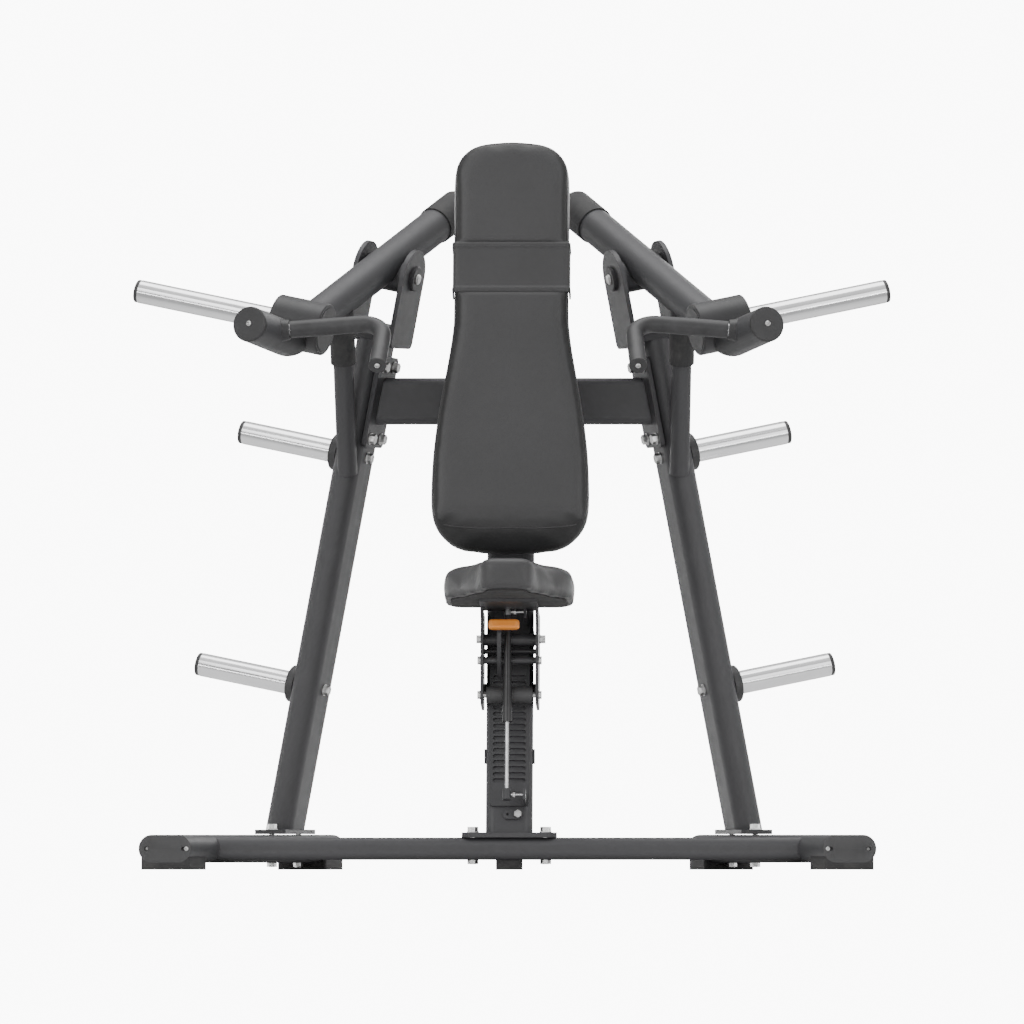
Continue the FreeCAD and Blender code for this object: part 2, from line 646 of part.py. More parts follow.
def make_post():
    tube = rounded_tube(POST_WIDE, POST_DEEP, POST_CORNER, POST_LENGTH + 40.0)
    post = on_post(tube, 0, 0, -40.0)
    below = centred_box(400.0, 400.0, 200.0)
    below.translate(Vector(0, POST_FOOT.y, POST_FOOT.z - 100.0))
    post = post.cut(below)
    for seat, outward, shank in post_bolts():
        post = post.cut(rod(seat, seat + outward * 12.0, 12.5))
    add("seat_post", post)

    face = POST_DEEP / 2.0
    plate = rounded_bar(RACK_WIDE, RACK_LENGTH, 9.0, RACK_THICK)
    plate = oriented(plate, post_point(0, face, RACK_START + RACK_LENGTH / 2.0), ACROSS, POST_OUT)
    cutter = slot_bar(SLOT_WIDE, SLOT_HEIGHT, RACK_THICK + 2.0)
    for i in range(SLOT_COUNT):
        at = post_point(0, face - 1.0, SLOT_FIRST + i * SLOT_PITCH)
        plate = plate.cut(oriented(cutter, at, ACROSS, POST_OUT))
    add("rack_plate", plate)

    rod_low = post_point(GAS_X, GAS_OUT, GAS_ROD_BOTTOM)
    rod_high = post_point(GAS_X, GAS_OUT, GAS_ROD_TOP)
    piston_top = post_point(GAS_X, GAS_OUT, GAS_ROD_TOP + GAS_PISTON_LENGTH)
    piston = rod(rod_high, piston_top, GAS_PISTON_RADIUS)
    end_middle = GAS_ROD_BOTTOM - GAS_END_LENGTH / 2.0
    stud = ball_stud(end_middle)
    socket = rod(post_point(GAS_X, GAS_OUT, GAS_ROD_BOTTOM - GAS_END_LENGTH), rod_low, GAS_END_RADIUS)
    add("gas_rod", [rod(rod_low, rod_high, GAS_ROD_RADIUS).fuse(piston), stud])

    lug_deep = GAS_OUT + LUG_BEYOND - face - RACK_THICK
    lug = on_post(Part.makeBox(LUG_THICK, lug_deep, LUG_TALL), LUG_X, GAS_OUT + LUG_BEYOND,
                  end_middle - LUG_TALL / 2.0)
    boss = rounded_bar(BOSS_LONG, BOSS_WIDE, BOSS_WIDE / 2.0, BOSS_THICK)
    boss = oriented(boss, post_point(BOSS_X, face, boss_height()), ACROSS, POST_OUT)
    hole_at = post_point(BOSS_HOLE_X, face, boss_height())
    boss = boss.cut(rod(hole_at, hole_at + POST_OUT * BOSS_THICK, 3.0))
    stops = []
    for x in (-1.0, 1.0):
        seat = post_point(x * POST_WIDE / 2.0, 0, STOP_S)
        stops.append(rod(seat, seat + ACROSS * (STOP_THICK * x), STOP_RADIUS))
    add("post_lugs", [lug.cut(stud), socket.cut(stud), boss] + stops)


def boss_height():
    return post_height(BOSS_Z, POST_DEEP / 2.0)


def ball_stud(up):
    """The stud at height up: a ball with flat poles in the gas spring's end, a flange, and a shank."""
    middle = post_point(GAS_X, GAS_OUT, up)
    tip = post_point(LUG_X + LUG_THICK, GAS_OUT, up)
    flange = middle + ACROSS * (GAS_END_RADIUS + 3.5)
    ball = Part.makeSphere(STUD_BALL, middle, ACROSS, -60.0, 60.0, 360.0)
    stud = ball.fuse(rod(middle, tip, STUD_SHANK))
    return stud.fuse(rod(flange, flange + ACROSS * STUD_FLANGE_THICK, STUD_FLANGE))


# ---- backrest -------------------------------------------------------------------------------------
BACK_FACE = POST_DEEP / 2.0 + BACK_BRACKET_DEEP


def back_outline(shrink, bottom, top):
    """Outline about the pad's own foot: narrow head, swelling to the hips, round at both ends."""
    head = BACK_HALF_HEAD - shrink
    hip = BACK_HALF_HIP - shrink
    shoulder = bottom + 545.0
    corner = top - 80.0
    flank = Part.BSplineCurve()
    flank.interpolate(Points=[Vector(hip, bottom + 98.0, 0), Vector(hip - 9.5, bottom + 272.0, 0),
                              Vector(head + 18.2, bottom + 394.0, 0), Vector(head + 6.3, bottom + 461.0, 0),
                              Vector(head, shoulder, 0)],
                      InitialTangent=Vector(0, 1, 0), FinalTangent=Vector(0, 1, 0))
    half = [
        flank.toShape(),
        Part.LineSegment(Vector(head, shoulder, 0), Vector(head, corner, 0)).toShape(),
        Part.Arc(Vector(head, corner, 0), Vector(head - 22.0, top - 24.0, 0),
                 Vector(head - 72.0, top - 4.0, 0)).toShape(),
        Part.Arc(Vector(hip, bottom + 98.0, 0), Vector(hip - 25.0, bottom + 36.0, 0),
                 Vector(hip - 76.0, bottom + 6.0, 0)).toShape(),
    ]
    crown = Part.Arc(Vector(72.0 - head, top - 4.0, 0), Vector(0, top, 0), Vector(head - 72.0, top - 4.0, 0))
    sole = Part.Arc(Vector(76.0 - hip, bottom + 6.0, 0), Vector(0, bottom, 0), Vector(hip - 76.0, bottom + 6.0, 0))
    flip = [edge.mirror(Vector(0, 0, 0), Vector(1, 0, 0)) for edge in half]
    return Part.Wire(Part.__sortEdges__(half + flip + [crown.toShape(), sole.toShape()]))


def back_solid(shrink, out, thick):
    bottom = post_height(BACK_BOTTOM_Z, BACK_FACE + BACK_BOARD_THICK + BACK_THICK / 2.0)
    top = bottom + (BACK_TOP_Z - BACK_BOTTOM_Z) / POST_UP.z
    wire = back_outline(shrink, bottom + shrink, top - shrink)
    body = Part.Face(wire).extrude(Vector(0, 0, thick))
    return oriented(body, post_point(0, out, 0), ACROSS, POST_OUT)


def back_brackets_at():
    return [post_height(z) for z in BACK_BRACKET_HEIGHTS]


def make_back():
    brackets = []
    for up in back_brackets_at():
        plate = rounded_bar(190.0, 60.0, 8.0, 6.0)
        plate = oriented(plate, post_point(0, BACK_FACE - 6.0, up), ACROSS, POST_OUT)
        web = centred_box(8.0, BACK_BRACKET_DEEP - 6.0, 50.0)
        middle = POST_DEEP / 2.0 + (BACK_BRACKET_DEEP - 6.0) / 2.0
        webs = [on_post(web, x, middle, up) for x in (-30.0, 30.0)]
        brackets.append(plate.fuse(webs[0]).fuse(webs[1]))
    stay_z = TOP_BAR_Z
    bar_front = upright_point(0, 0, upright_height(TOP_BAR_Z)).y - TOP_BAR_DEPTH / 2.0
    post_back = post_point(0, -POST_DEEP / 2.0, post_height(stay_z, -POST_DEEP / 2.0)).y
    stay = rounded_tube(80.0, 60.0, 12.0, bar_front - post_back + 60.0)
    stay = oriented(stay, Vector(0, post_back - 60.0, stay_z), ACROSS, Vector(0, 1, 0))
    stay = stay.cut(on_post(rounded_bar(POST_WIDE, POST_DEEP, POST_CORNER, POST_LENGTH), 0, 0, 0))
    stay = max(stay.Solids, key=lambda solid: solid.CenterOfMass.y)
    add("back_brackets", brackets)
    add("back_stay", stay)
    board = back_solid(BACK_BOARD_INSET, BACK_FACE, BACK_BOARD_THICK)
    add("back_board", board)

    pad = back_solid(0.0, BACK_FACE + BACK_BOARD_THICK, BACK_THICK)
    bevel = centred_box(600.0, 200.0, 200.0)
    crease = post_height(BACK_CREASE_Z, BACK_FACE + BACK_BOARD_THICK + BACK_THICK)
    slope = math.radians(BACK_BEVEL)
    bevel_up = POST_UP * math.cos(slope) + POST_OUT * math.sin(slope)
    bevel_out = POST_OUT * math.cos(slope) - POST_UP * math.sin(slope)
    edge = post_point(0, BACK_FACE + BACK_BOARD_THICK + BACK_THICK, crease)
    pad = pad.cut(oriented(bevel, edge + bevel_out * 100.0 - bevel_up * 100.0, ACROSS, bevel_up))
    add("back_pad", pad)

    out_low = BACK_FACE + BACK_BOARD_THICK
    out_high = out_low + BACK_THICK
    low = post_height(BAND_BOTTOM_Z, out_high)
    high = post_height(BAND_TOP_Z, out_high)
    wide = 2 * (BACK_HALF_HEAD + BAND_THICK)
    outer = centred_box(wide, BACK_THICK + BAND_THICK, high - low)
    outer.translate(Vector(0, -BAND_THICK / 2.0, 0))
    band = on_post(outer, 0, (out_low + out_high) / 2.0, (low + high) / 2.0).cut(pad).cut(board)
    add("back_band", band)


# ---- seat carriage --------------------------------------------------------------------------------
FRONT_ROLLER_OUT = POST_DEEP / 2.0 + RACK_THICK + ROLLER_RADIUS + ROLLER_GAP
REAR_ROLLER_OUT = -(POST_DEEP / 2.0 + ROLLER_RADIUS + ROLLER_GAP)
SPACERS = ((58.0, 411.0, 12.5), (48.0, 388.0, 5.5), (-48.0, 330.0, 12.0))
SIDE_PLATE_OUTER = SIDE_PLATE_X + SIDE_PLATE_THICK


def cross_pin(out, up, radius, half):
    return rod(post_point(-half, out, up), post_point(half, out, up), radius)


def side_plate():
    points = [(-70.0, CARRIAGE_BOTTOM + 30.0), (-58.0, CARRIAGE_BOTTOM + 18.0), (66.0, CARRIAGE_BOTTOM),
              (78.0, CARRIAGE_BOTTOM + 12.0), (96.0, CARRIAGE_TOP - 70.0), (190.0, CARRIAGE_TOP - 4.0),
              (190.0, CARRIAGE_TOP + 14.0), (-72.0, CARRIAGE_TOP - 6.0), (-70.0, CARRIAGE_BOTTOM + 30.0)]
    corners = [post_point(SIDE_PLATE_X, out, up) for out, up in points]
    return Part.Face(Part.makePolygon(corners)).extrude(Vector(SIDE_PLATE_THICK, 0, 0))


def seat_frame():
    """Origin and directions of the seat pad's underside at its rear edge."""
    tilt = math.radians(SEAT_TILT)
    forward = Vector(0, -math.cos(tilt), math.sin(tilt))
    normal = Vector(0, math.sin(tilt), math.cos(tilt))
    nose = Vector(0, SEAT_FRONT_Y, SEAT_NOSE_TOP)
    length = (SEAT_REAR_Y - SEAT_FRONT_Y) / math.cos(tilt)
    return nose - forward * length - normal * SEAT_THICK, forward, normal, length


def seat_outline(shrink, length):
    """Plan of the saddle: X across, Y forward from the rear edge."""
    wing = SEAT_HALF_WING - shrink
    nose = SEAT_HALF_NOSE - shrink
    front = length - shrink
    r = SEAT_CORNER
    k = r * (1.0 - math.sqrt(0.5))
    flare = Part.BSplineCurve()
    flare.interpolate(Points=[Vector(wing, length - 236.0, 0), Vector(wing - 11.0, length - 190.0, 0),
                              Vector(wing - 38.0, length - 146.0, 0), Vector(nose + 18.0, length - 88.0, 0),
                              Vector(nose, front - r, 0)],
                      InitialTangent=Vector(0, 1, 0), FinalTangent=Vector(-0.1, 1, 0))
    half = [
        Part.Arc(Vector(wing - r, shrink, 0), Vector(wing - k, shrink + k, 0),
                 Vector(wing, shrink + r, 0)).toShape(),
        Part.LineSegment(Vector(wing, shrink + r, 0), Vector(wing, length - 236.0, 0)).toShape(),
        flare.toShape(),
        Part.Arc(Vector(nose, front - r, 0), Vector(nose - k, front - k, 0),
                 Vector(nose - r, front, 0)).toShape(),
    ]
    flip = [edge.mirror(Vector(0, 0, 0), Vector(1, 0, 0)) for edge in half]
    rear = Part.LineSegment(Vector(-wing + r, shrink, 0), Vector(wing - r, shrink, 0)).toShape()
    tip = Part.LineSegment(Vector(-nose + r, front, 0), Vector(nose - r, front, 0)).toShape()
    return Part.Wire(Part.__sortEdges__(half + flip + [rear, tip]))


def gas_body(inset):
    """The gas spring's tapered body, or the room inside it."""
    wide = GAS_CYLINDER_RADIUS - inset
    narrow = GAS_NECK_RADIUS - inset
    low = post_point(GAS_X, GAS_OUT, GAS_CYLINDER_BOTTOM + 4.0 * inset)
    bend = post_point(GAS_X, GAS_OUT, GAS_TAPER_BOTTOM)
    neck = post_point(GAS_X, GAS_OUT, GAS_TAPER_TOP)
    top = post_point(GAS_X, GAS_OUT, GAS_CYLINDER_TOP - 4.0 * inset)
    cone = Part.makeCone(wide, narrow, (neck - bend).Length, bend, POST_UP)
    return rod(low, bend, wide).fuse(cone).fuse(rod(neck, top, narrow))


def make_carriage():
    plate = side_plate()
    pins = [(FRONT_ROLLER_OUT, FRONT_ROLLER_S, ROLLER_PIN), (REAR_ROLLER_OUT, REAR_ROLLER_S, ROLLER_PIN),
            (LEVER_PIVOT_OUT, LEVER_PIVOT_S, LEVER_PIN)]
    for out, up, radius in pins:
        plate = plate.cut(cross_pin(out, up, radius, 100.0))
    origin, forward, normal, length = seat_frame()
    board = Part.Face(seat_outline(SEAT_BOARD_INSET, length)).extrude(Vector(0, 0, SEAT_BOARD_THICK))
    board = oriented(board, origin, ACROSS, normal)
    board.rotate(origin, normal, 180.0)
    pad = Part.Face(seat_outline(0.0, length)).extrude(Vector(0, 0, SEAT_THICK))
    pad = oriented(pad, origin, ACROSS, normal)
    pad.rotate(origin, normal, 180.0)
    rim = [edge for edge in pad.Edges if (edge.CenterOfMass - origin).dot(normal) > SEAT_THICK - 1.0]
    pad = pad.makeFillet(14.0, rim)
    add("seat_board", board)
    add("seat_pad", pad.cut(board))

    tray = Part.makeBox(2 * SIDE_PLATE_OUTER, 190.0, 6.0, Vector(-SIDE_PLATE_OUTER, 0, 0))
    tray_low = origin + forward * 10.0 - normal * 6.0
    tray = oriented(tray, tray_low, ACROSS * -1.0, normal)
    above = oriented(centred_box(400.0, 1200.0, 400.0), tray_low + normal * 200.0, ACROSS, normal)
    plate = plate.cut(above)
    add("carriage_plates", both_sides(plate))

    spacers = []
    for out, up, radius in SPACERS:
        spacers.append(cross_pin(out, up, radius, SIDE_PLATE_X))
    lever_half = LEVER_THICK / 2.0 + 0.3
    for start, end in ((-SIDE_PLATE_X, LEVER_X - lever_half), (LEVER_X + lever_half, SIDE_PLATE_X)):
        spacers.append(ring(post_point(start, LEVER_PIVOT_OUT, LEVER_PIVOT_S),
                            post_point(end, LEVER_PIVOT_OUT, LEVER_PIVOT_S), LEVER_SLEEVE, LEVER_PIN))
    add("carriage_spacers", spacers)
    studs = []
    for (out, up, radius), head in zip(pins, (7.0, 12.0, 7.0)):
        pin = cross_pin(out, up, radius, SIDE_PLATE_OUTER)
        for x in (-1.0, 1.0):
            seat = post_point(x * SIDE_PLATE_OUTER, out, up)
            pin = pin.fuse(hex_head(seat, ACROSS * x, head, SMALL_HEAD_FLATS))
            pin = pin.fuse(rod(seat, seat + ACROSS * (x * BOLT_FLANGE_THICK), SMALL_HEAD_FLATS * 0.65))
        studs.append(pin)

    for name, out, up in (("front_roller", FRONT_ROLLER_OUT, FRONT_ROLLER_S),
                          ("rear_roller", REAR_ROLLER_OUT, REAR_ROLLER_S)):
        roller = cross_pin(out, up, ROLLER_RADIUS, ROLLER_HALF)
        add(name, roller.cut(cross_pin(out, up, ROLLER_BORE, ROLLER_HALF + 1.0)))

    cylinder = gas_body(0.0).cut(gas_body(GAS_WALL))
    bore = rod(post_point(GAS_X, GAS_OUT, GAS_CYLINDER_BOTTOM), post_point(GAS_X, GAS_OUT, GAS_TAPER_BOTTOM),
               GAS_ROD_RADIUS + RUNNING_GAP)
    add("gas_cylinder", cylinder.cut(bore))
    top = post_point(GAS_X, GAS_OUT, GAS_CYLINDER_TOP)
    stud = ball_stud(GAS_CYLINDER_TOP + GAS_TOP_END_LENGTH / 2.0)
    end = rod(top, post_point(GAS_X, GAS_OUT, GAS_CYLINDER_TOP + GAS_TOP_END_LENGTH), GAS_NECK_RADIUS)
    lug = on_post(Part.makeBox(LUG_THICK, LUG_TALL, 80.0), LUG_X, GAS_OUT + LUG_TALL / 2.0,
                  GAS_CYLINDER_TOP - LUG_BEYOND)
    add("carriage_pins", studs + [end.cut(above).cut(stud), stud])
    add("seat_bracket", tray.fuse(lug.cut(above)).cut(stud).cut(end))

    lever_points = [(-26.5, -30.0), (-16.0, -34.0), (10.0, -8.0), (34.0, 24.0), (44.0, 50.0), (62.0, 56.0),
                    (62.0, 68.0), (36.0, 66.0), (20.0, 32.0), (-10.0, 8.0), (-26.5, -30.0)]
    corners = [post_point(LEVER_X - LEVER_THICK / 2.0, LEVER_PIVOT_OUT + out, LEVER_PIVOT_S + up)
               for out, up in lever_points]
    lever = Part.Face(Part.makePolygon(corners)).extrude(Vector(LEVER_THICK, 0, 0))
    lever = lever.cut(cross_pin(LEVER_PIVOT_OUT, LEVER_PIVOT_S, LEVER_PIN + RUNNING_GAP, 100.0))
    add("release_lever", lever)
    grip = rounded_bar(66.0, 24.0, 11.0, 20.0)
    grip = grip.makeFillet(5.0, [edge for edge in grip.Edges if abs(edge.CenterOfMass.z - 10.0) > 9.0])
    grip = on_post(grip, -11.0, LEVER_PIVOT_OUT + 62.0, LEVER_PIVOT_S + 53.0)
    add("lever_grip", grip.cut(lever))


# ---- arms -----------------------------------------------------------------------------------------
def arm_point(inward):
    """A point of the arm's axis, by how far towards the machine's middle it lies from the pivot."""
    return ARM_ORIGIN + ARM_PER_X * inward


def make_arm(side):
    keep = mirrored if side == "left" else (lambda shape: shape)

    def add_arm(name, shapes):
        group = shapes if isinstance(shapes, list) else [shapes]
        add(side + "_" + name, [keep(shape) for shape in group])

    half = HOUSING_LENGTH / 2.0
    bore = AXLE_RADIUS + RUNNING_GAP + BUSH_WALL
    housing_full = rod(PIVOT - FACE_OUT * half, PIVOT + FACE_OUT * half, HOUSING_RADIUS)
    housing = housing_full.cut(rod(PIVOT - FACE_OUT * half, PIVOT + FACE_OUT * half, bore))
    add_arm("bearing_housing", housing)
    bushes = []
    for sign in (-1.0, 1.0):
        outer_end = PIVOT + FACE_OUT * (half * sign)
        inner_end = PIVOT + FACE_OUT * ((half - BUSH_LENGTH) * sign)
        bushes.append(ring(inner_end, outer_end, bore, AXLE_RADIUS + RUNNING_GAP))
    add_arm("pivot_bushes", bushes)

    hub_centre = arm_point(-HUB_FROM_PIVOT) + UP * HUB_LIFT
    hub_low = hub_centre - FACE_OUT * (HUB_LENGTH / 2.0)
    hub_high = hub_centre + FACE_OUT * (HUB_LENGTH / 2.0)
    hub_full = rod(hub_low, hub_high, HUB_RADIUS)

    inner_end = arm_point(ARM_TUBE_INNER_END) + ARM_BACK * SLEEVE_OVERLAP
    arm = ring(arm_point(-HUB_FROM_PIVOT), inner_end, ARM_RADIUS, ARM_RADIUS - WALL)
    arm = arm.cut(housing_full).cut(hub_full)
    arm = max(arm.Solids, key=lambda solid: solid.Volume)
    add_arm("arm_tube", arm)

    sleeve_start = arm_point(ARM_TUBE_INNER_END)
    sleeve_end = sleeve_start + ARM_BACK * SLEEVE_LENGTH
    sleeve = rod(sleeve_start, sleeve_end, SLEEVE_RADIUS)
    sleeve = sleeve.makeFillet(4.0, [edge for edge in sleeve.Edges
                                     if (edge.CenterOfMass - sleeve_end).Length < 0.1])
    add_arm("weight_sleeve", sleeve.cut(rod(sleeve_start, inner_end, ARM_RADIUS)))

    bore_end = hub_high - FACE_OUT * HUB_SPIGOT_LENGTH
    hub = hub_full.cut(rod(bore_end, hub_high, HUB_SPIGOT_RADIUS))
    hub = hub.cut(rod(hub_low, bore_end - FACE_OUT * HUB_WALL, HUB_RADIUS - HUB_WALL))
    rims = [edge for edge in hub.Edges if edge.Length > 300.0]
    add_arm("cross_hub", hub.makeFillet(3.0, rims))
    horn_end = hub_high + FACE_OUT * ARM_HORN_LENGTH
    horn = rod(hub_high, horn_end, HORN_RADIUS).fuse(rod(bore_end, hub_high, HUB_SPIGOT_RADIUS))
    add_arm("weight_horn", horn.cut(rod(bore_end, horn_end, HORN_RADIUS - HORN_WALL)))

    forward = unit(FOREARM_DIRECTION)
    elbow = arm_point(-ELBOW_FROM_PIVOT) - UP * ELBOW_DROP
    forearm_end = elbow + forward * FOREARM_LENGTH
    start = arm_point(-HUB_FROM_PIVOT + 6.0)
    solid = bent_rod([start, elbow, forearm_end], [ELBOW_BEND_RADIUS], ARM_RADIUS)
    hollow = bent_rod([start, elbow, forearm_end], [ELBOW_BEND_RADIUS], ARM_RADIUS - WALL)
    forearm = solid.cut(hollow).cut(hub_full).cut(rod(arm_point(0.0), arm_point(-HUB_FROM_PIVOT), ARM_RADIUS + 2.0))
    forearm = max(forearm.Solids, key=lambda piece: piece.Volume)

    socket_at = elbow + forward * SOCKET_FROM_ELBOW
    bar_direction = unit(HANDLE_BEND - socket_at)
    big = socket_at + bar_direction * SOCKET_START
    socket_end = socket_at + bar_direction * SOCKET_END
    socket = Part.makeCone(SOCKET_RADIUS_BIG, SOCKET_RADIUS_SMALL, SOCKET_END - SOCKET_START, big, bar_direction)
    tube_start = socket_at + bar_direction * HANDLE_TUBE_START
    path = [tube_start, HANDLE_BEND, HANDLE_END]
    tube = bent_rod(path, [HANDLE_BEND_RADIUS], HANDLE_TUBE_RADIUS)
    tube_seat = rod(tube_start, socket_end, HANDLE_TUBE_RADIUS)
    add_arm("forearm", forearm.cut(tube_seat))
    grip_start = socket_end + bar_direction * 1.5
    sleeve_path = [grip_start, HANDLE_BEND, HANDLE_END]
    grip = bent_rod(sleeve_path, [HANDLE_BEND_RADIUS], HANDLE_GRIP_RADIUS)
    grip = grip.cut(bent_rod(path, [HANDLE_BEND_RADIUS], HANDLE_TUBE_RADIUS))
    add_arm("handle_socket", socket.cut(solid).cut(tube_seat))
    add_arm("handle_tube", tube)
    add_arm("handle_grip", grip)

    horn_cap = horn_tip(horn_end, FACE_OUT)
    cap_end = forearm_end + forward * FOREARM_CAP_THICK
    cap = rod(forearm_end, cap_end, ARM_RADIUS + 0.5)
    cap = cap.makeFillet(4.0, [edge for edge in cap.Edges if (edge.CenterOfMass - cap_end).Length < 0.1])
    cap = cap.fuse(rod(forearm_end - forward * 20.0, forearm_end, ARM_RADIUS - WALL))
    grip_way = unit(HANDLE_END - HANDLE_BEND)
    plug_end = HANDLE_END + grip_way * 7.0
    plug = rod(HANDLE_END, plug_end, HANDLE_GRIP_RADIUS + 0.8)
    plug = plug.makeFillet(2.5, [edge for edge in plug.Edges if (edge.CenterOfMass - plug_end).Length < 0.1])
    hub_cap = rod(hub_low + FACE_OUT * 6.0, hub_low - FACE_OUT * 1.0, HUB_RADIUS - HUB_WALL)
    add_arm("arm_caps", [horn_cap, cap, plug, hub_cap])


# ---- fasteners ------------------------------------------------------------------------------------
def make_fasteners():
    bolts = []
    for spec in base_bolts() + horn_bolts() + flange_bolts():
        bolts += both_sides(bolt(*spec))
    for spec in axle_bolts():
        bolts += both_sides(button_bolt(*spec))
    nut_seats = []
    for seat, outward, shank in base_bolts() + post_bolts():
        nut_seats.append(seat - outward * (shank - 9.5))
    nuts = []
    for index, seat in enumerate(nut_seats):
        body = nut(seat, UP * -1.0)
        nuts += both_sides(body) if index < len(base_bolts()) else [body]
    bolts += [bolt(*spec) for spec in post_bolts()]
    boss_seat = post_point(BOSS_BOLT_X, POST_DEEP / 2.0 + BOSS_THICK, boss_height())
    boss_bolt = hex_head(boss_seat, POST_OUT, 8.0, SMALL_HEAD_FLATS)
    add("frame_bolts", bolts + nuts + [boss_bolt])


def export_all():
    low = Vector(1e9, 1e9, 1e9)
    high = Vector(-1e9, -1e9, -1e9)
    for solids in NODES.values():
        for solid in solids:
            box = solid.optimalBoundingBox(False)
            low = Vector(min(low.x, box.XMin), min(low.y, box.YMin), min(low.z, box.ZMin))
            high = Vector(max(high.x, box.XMax), max(high.y, box.YMax), max(high.z, box.ZMax))
    shift = Vector(-(low.x + high.x) / 2.0, -(low.y + high.y) / 2.0, -low.z)
    print("size", high - low, "shift", shift, "nodes", len(NODES))
    for name, solids in NODES.items():
        node = Part.makeCompound(solids) if len(solids) > 1 else solids[0]
        moved = node.copy()
        moved.translate(shift)
        moved.exportStep("parts/" + name + ".step")


make_base()
make_uprights()
make_pivots()
make_rests()
make_storage_horns()
make_post()
make_back()
make_carriage()
make_arm("left")
make_arm("right")
make_fasteners()
export_all()
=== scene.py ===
import json
import math

import bmesh
import bpy
from mathutils import Matrix, Vector
from mathutils.bvhtree import BVHTree


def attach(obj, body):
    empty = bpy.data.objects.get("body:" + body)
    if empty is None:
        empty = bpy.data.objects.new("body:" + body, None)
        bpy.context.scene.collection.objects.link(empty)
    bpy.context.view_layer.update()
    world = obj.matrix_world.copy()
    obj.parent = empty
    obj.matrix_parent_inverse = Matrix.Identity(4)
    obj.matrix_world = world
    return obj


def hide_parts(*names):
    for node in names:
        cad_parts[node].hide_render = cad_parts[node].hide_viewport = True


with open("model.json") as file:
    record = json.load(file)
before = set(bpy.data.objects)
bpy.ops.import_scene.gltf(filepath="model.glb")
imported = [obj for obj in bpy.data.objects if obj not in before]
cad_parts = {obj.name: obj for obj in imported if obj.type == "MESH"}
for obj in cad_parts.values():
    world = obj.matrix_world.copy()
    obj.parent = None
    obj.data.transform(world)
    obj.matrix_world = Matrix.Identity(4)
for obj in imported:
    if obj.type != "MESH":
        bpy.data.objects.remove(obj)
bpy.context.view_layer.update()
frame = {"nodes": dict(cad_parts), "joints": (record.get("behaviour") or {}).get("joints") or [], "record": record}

NODES = frame["nodes"]
JOINTS = {joint["name"]: joint for joint in frame["joints"]}
SIDES = {"right": 1.0, "left": -1.0}

# Directions of the seat post, from the seat's slide.
ACROSS = Vector((1, 0, 0))
UPRIGHT = Vector((0, 0, 1))
POST_UP = Vector(JOINTS["seat_slide"]["axis"]).normalized()
POST_OUT = ACROSS.cross(POST_UP) * -1.0
POST_OUT = POST_OUT if POST_OUT.y < 0 else POST_OUT * -1.0


# ---- materials ------------------------------------------------------------------------------------
class Graph:
    """A small helper that makes and joins shader nodes."""

    def __init__(self, name):
        self.material = bpy.data.materials.new(name)
        self.material.use_nodes = True
        self.tree = self.material.node_tree
        self.shader = self.tree.nodes["Principled BSDF"]
        self.place = self.add("ShaderNodeTexCoord").outputs["Object"]

    def add(self, kind, **values):
        node = self.tree.nodes.new(kind)
        for key, value in values.items():
            setattr(node, key, value)
        return node

    def join(self, output, socket):
        self.tree.links.new(output, socket)

    def noise(self, scale, detail=3.0, roughness=0.5, stretch=None):
        node = self.add("ShaderNodeTexNoise")
        node.inputs["Scale"].default_value = scale
        node.inputs["Detail"].default_value = detail
        node.inputs["Roughness"].default_value = roughness
        place = self.place
        if stretch:
            mapping = self.add("ShaderNodeMapping")
            mapping.inputs["Scale"].default_value = stretch
            self.join(self.place, mapping.inputs["Vector"])
            place = mapping.outputs["Vector"]
        self.join(place, node.inputs["Vector"])
        return node.outputs["Fac"]

    def cells(self, scale, feature="DISTANCE_TO_EDGE"):
        node = self.add("ShaderNodeTexVoronoi", feature=feature)
        node.inputs["Scale"].default_value = scale
        self.join(self.place, node.inputs["Vector"])
        return node.outputs["Distance"]

    def ramp(self, value, low, high, start=0.0, end=1.0):
        node = self.add("ShaderNodeMapRange")
        node.inputs["From Min"].default_value = start
        node.inputs["From Max"].default_value = end
        node.inputs["To Min"].default_value = low
        node.inputs["To Max"].default_value = high
        self.join(value, node.inputs["Value"])
        return node.outputs["Result"]

    def mix(self, factor, first, second):
        node = self.add("ShaderNodeMix", data_type="RGBA")
        self.join(factor, node.inputs["Factor"])
        for socket, colour in ((node.inputs["A"], first), (node.inputs["B"], second)):
            if isinstance(colour, tuple):
                socket.default_value = (*colour, 1.0)
            else:
                self.join(colour, socket)
        return node.outputs["Result"]

    def edges(self, low=0.52, high=0.6):
        """1 where the surface bends outwards sharply; the materials paint these edges brighter, a painted edge
        highlight with a little rubbed wear.
        """
        pointy = self.add("ShaderNodeNewGeometry").outputs["Pointiness"]
        return self.ramp(pointy, 0.0, 1.0, low, high)

    def bump(self, height, strength, distance, under=None):
        node = self.add("ShaderNodeBump")
        node.inputs["Strength"].default_value = strength
        node.inputs["Distance"].default_value = distance
        self.join(height, node.inputs["Height"])
        if under is not None:
            self.join(under, node.inputs["Normal"])
        return node.outputs["Normal"]

    def rounded(self, radius):
        node = self.add("ShaderNodeBevel", samples=4)
        node.inputs["Radius"].default_value = radius
        return node.outputs["Normal"]

    def finish(self, colour=None, roughness=None, normal=None, **constants):
        if colour is not None:
            self.join(colour, self.shader.inputs["Base Color"])
        if roughness is not None:
            self.join(roughness, self.shader.inputs["Roughness"])
        if normal is not None:
            self.join(normal, self.shader.inputs["Normal"])
        for key, value in constants.items():
            self.shader.inputs[key.replace("_", " ")].default_value = value
        return self.material


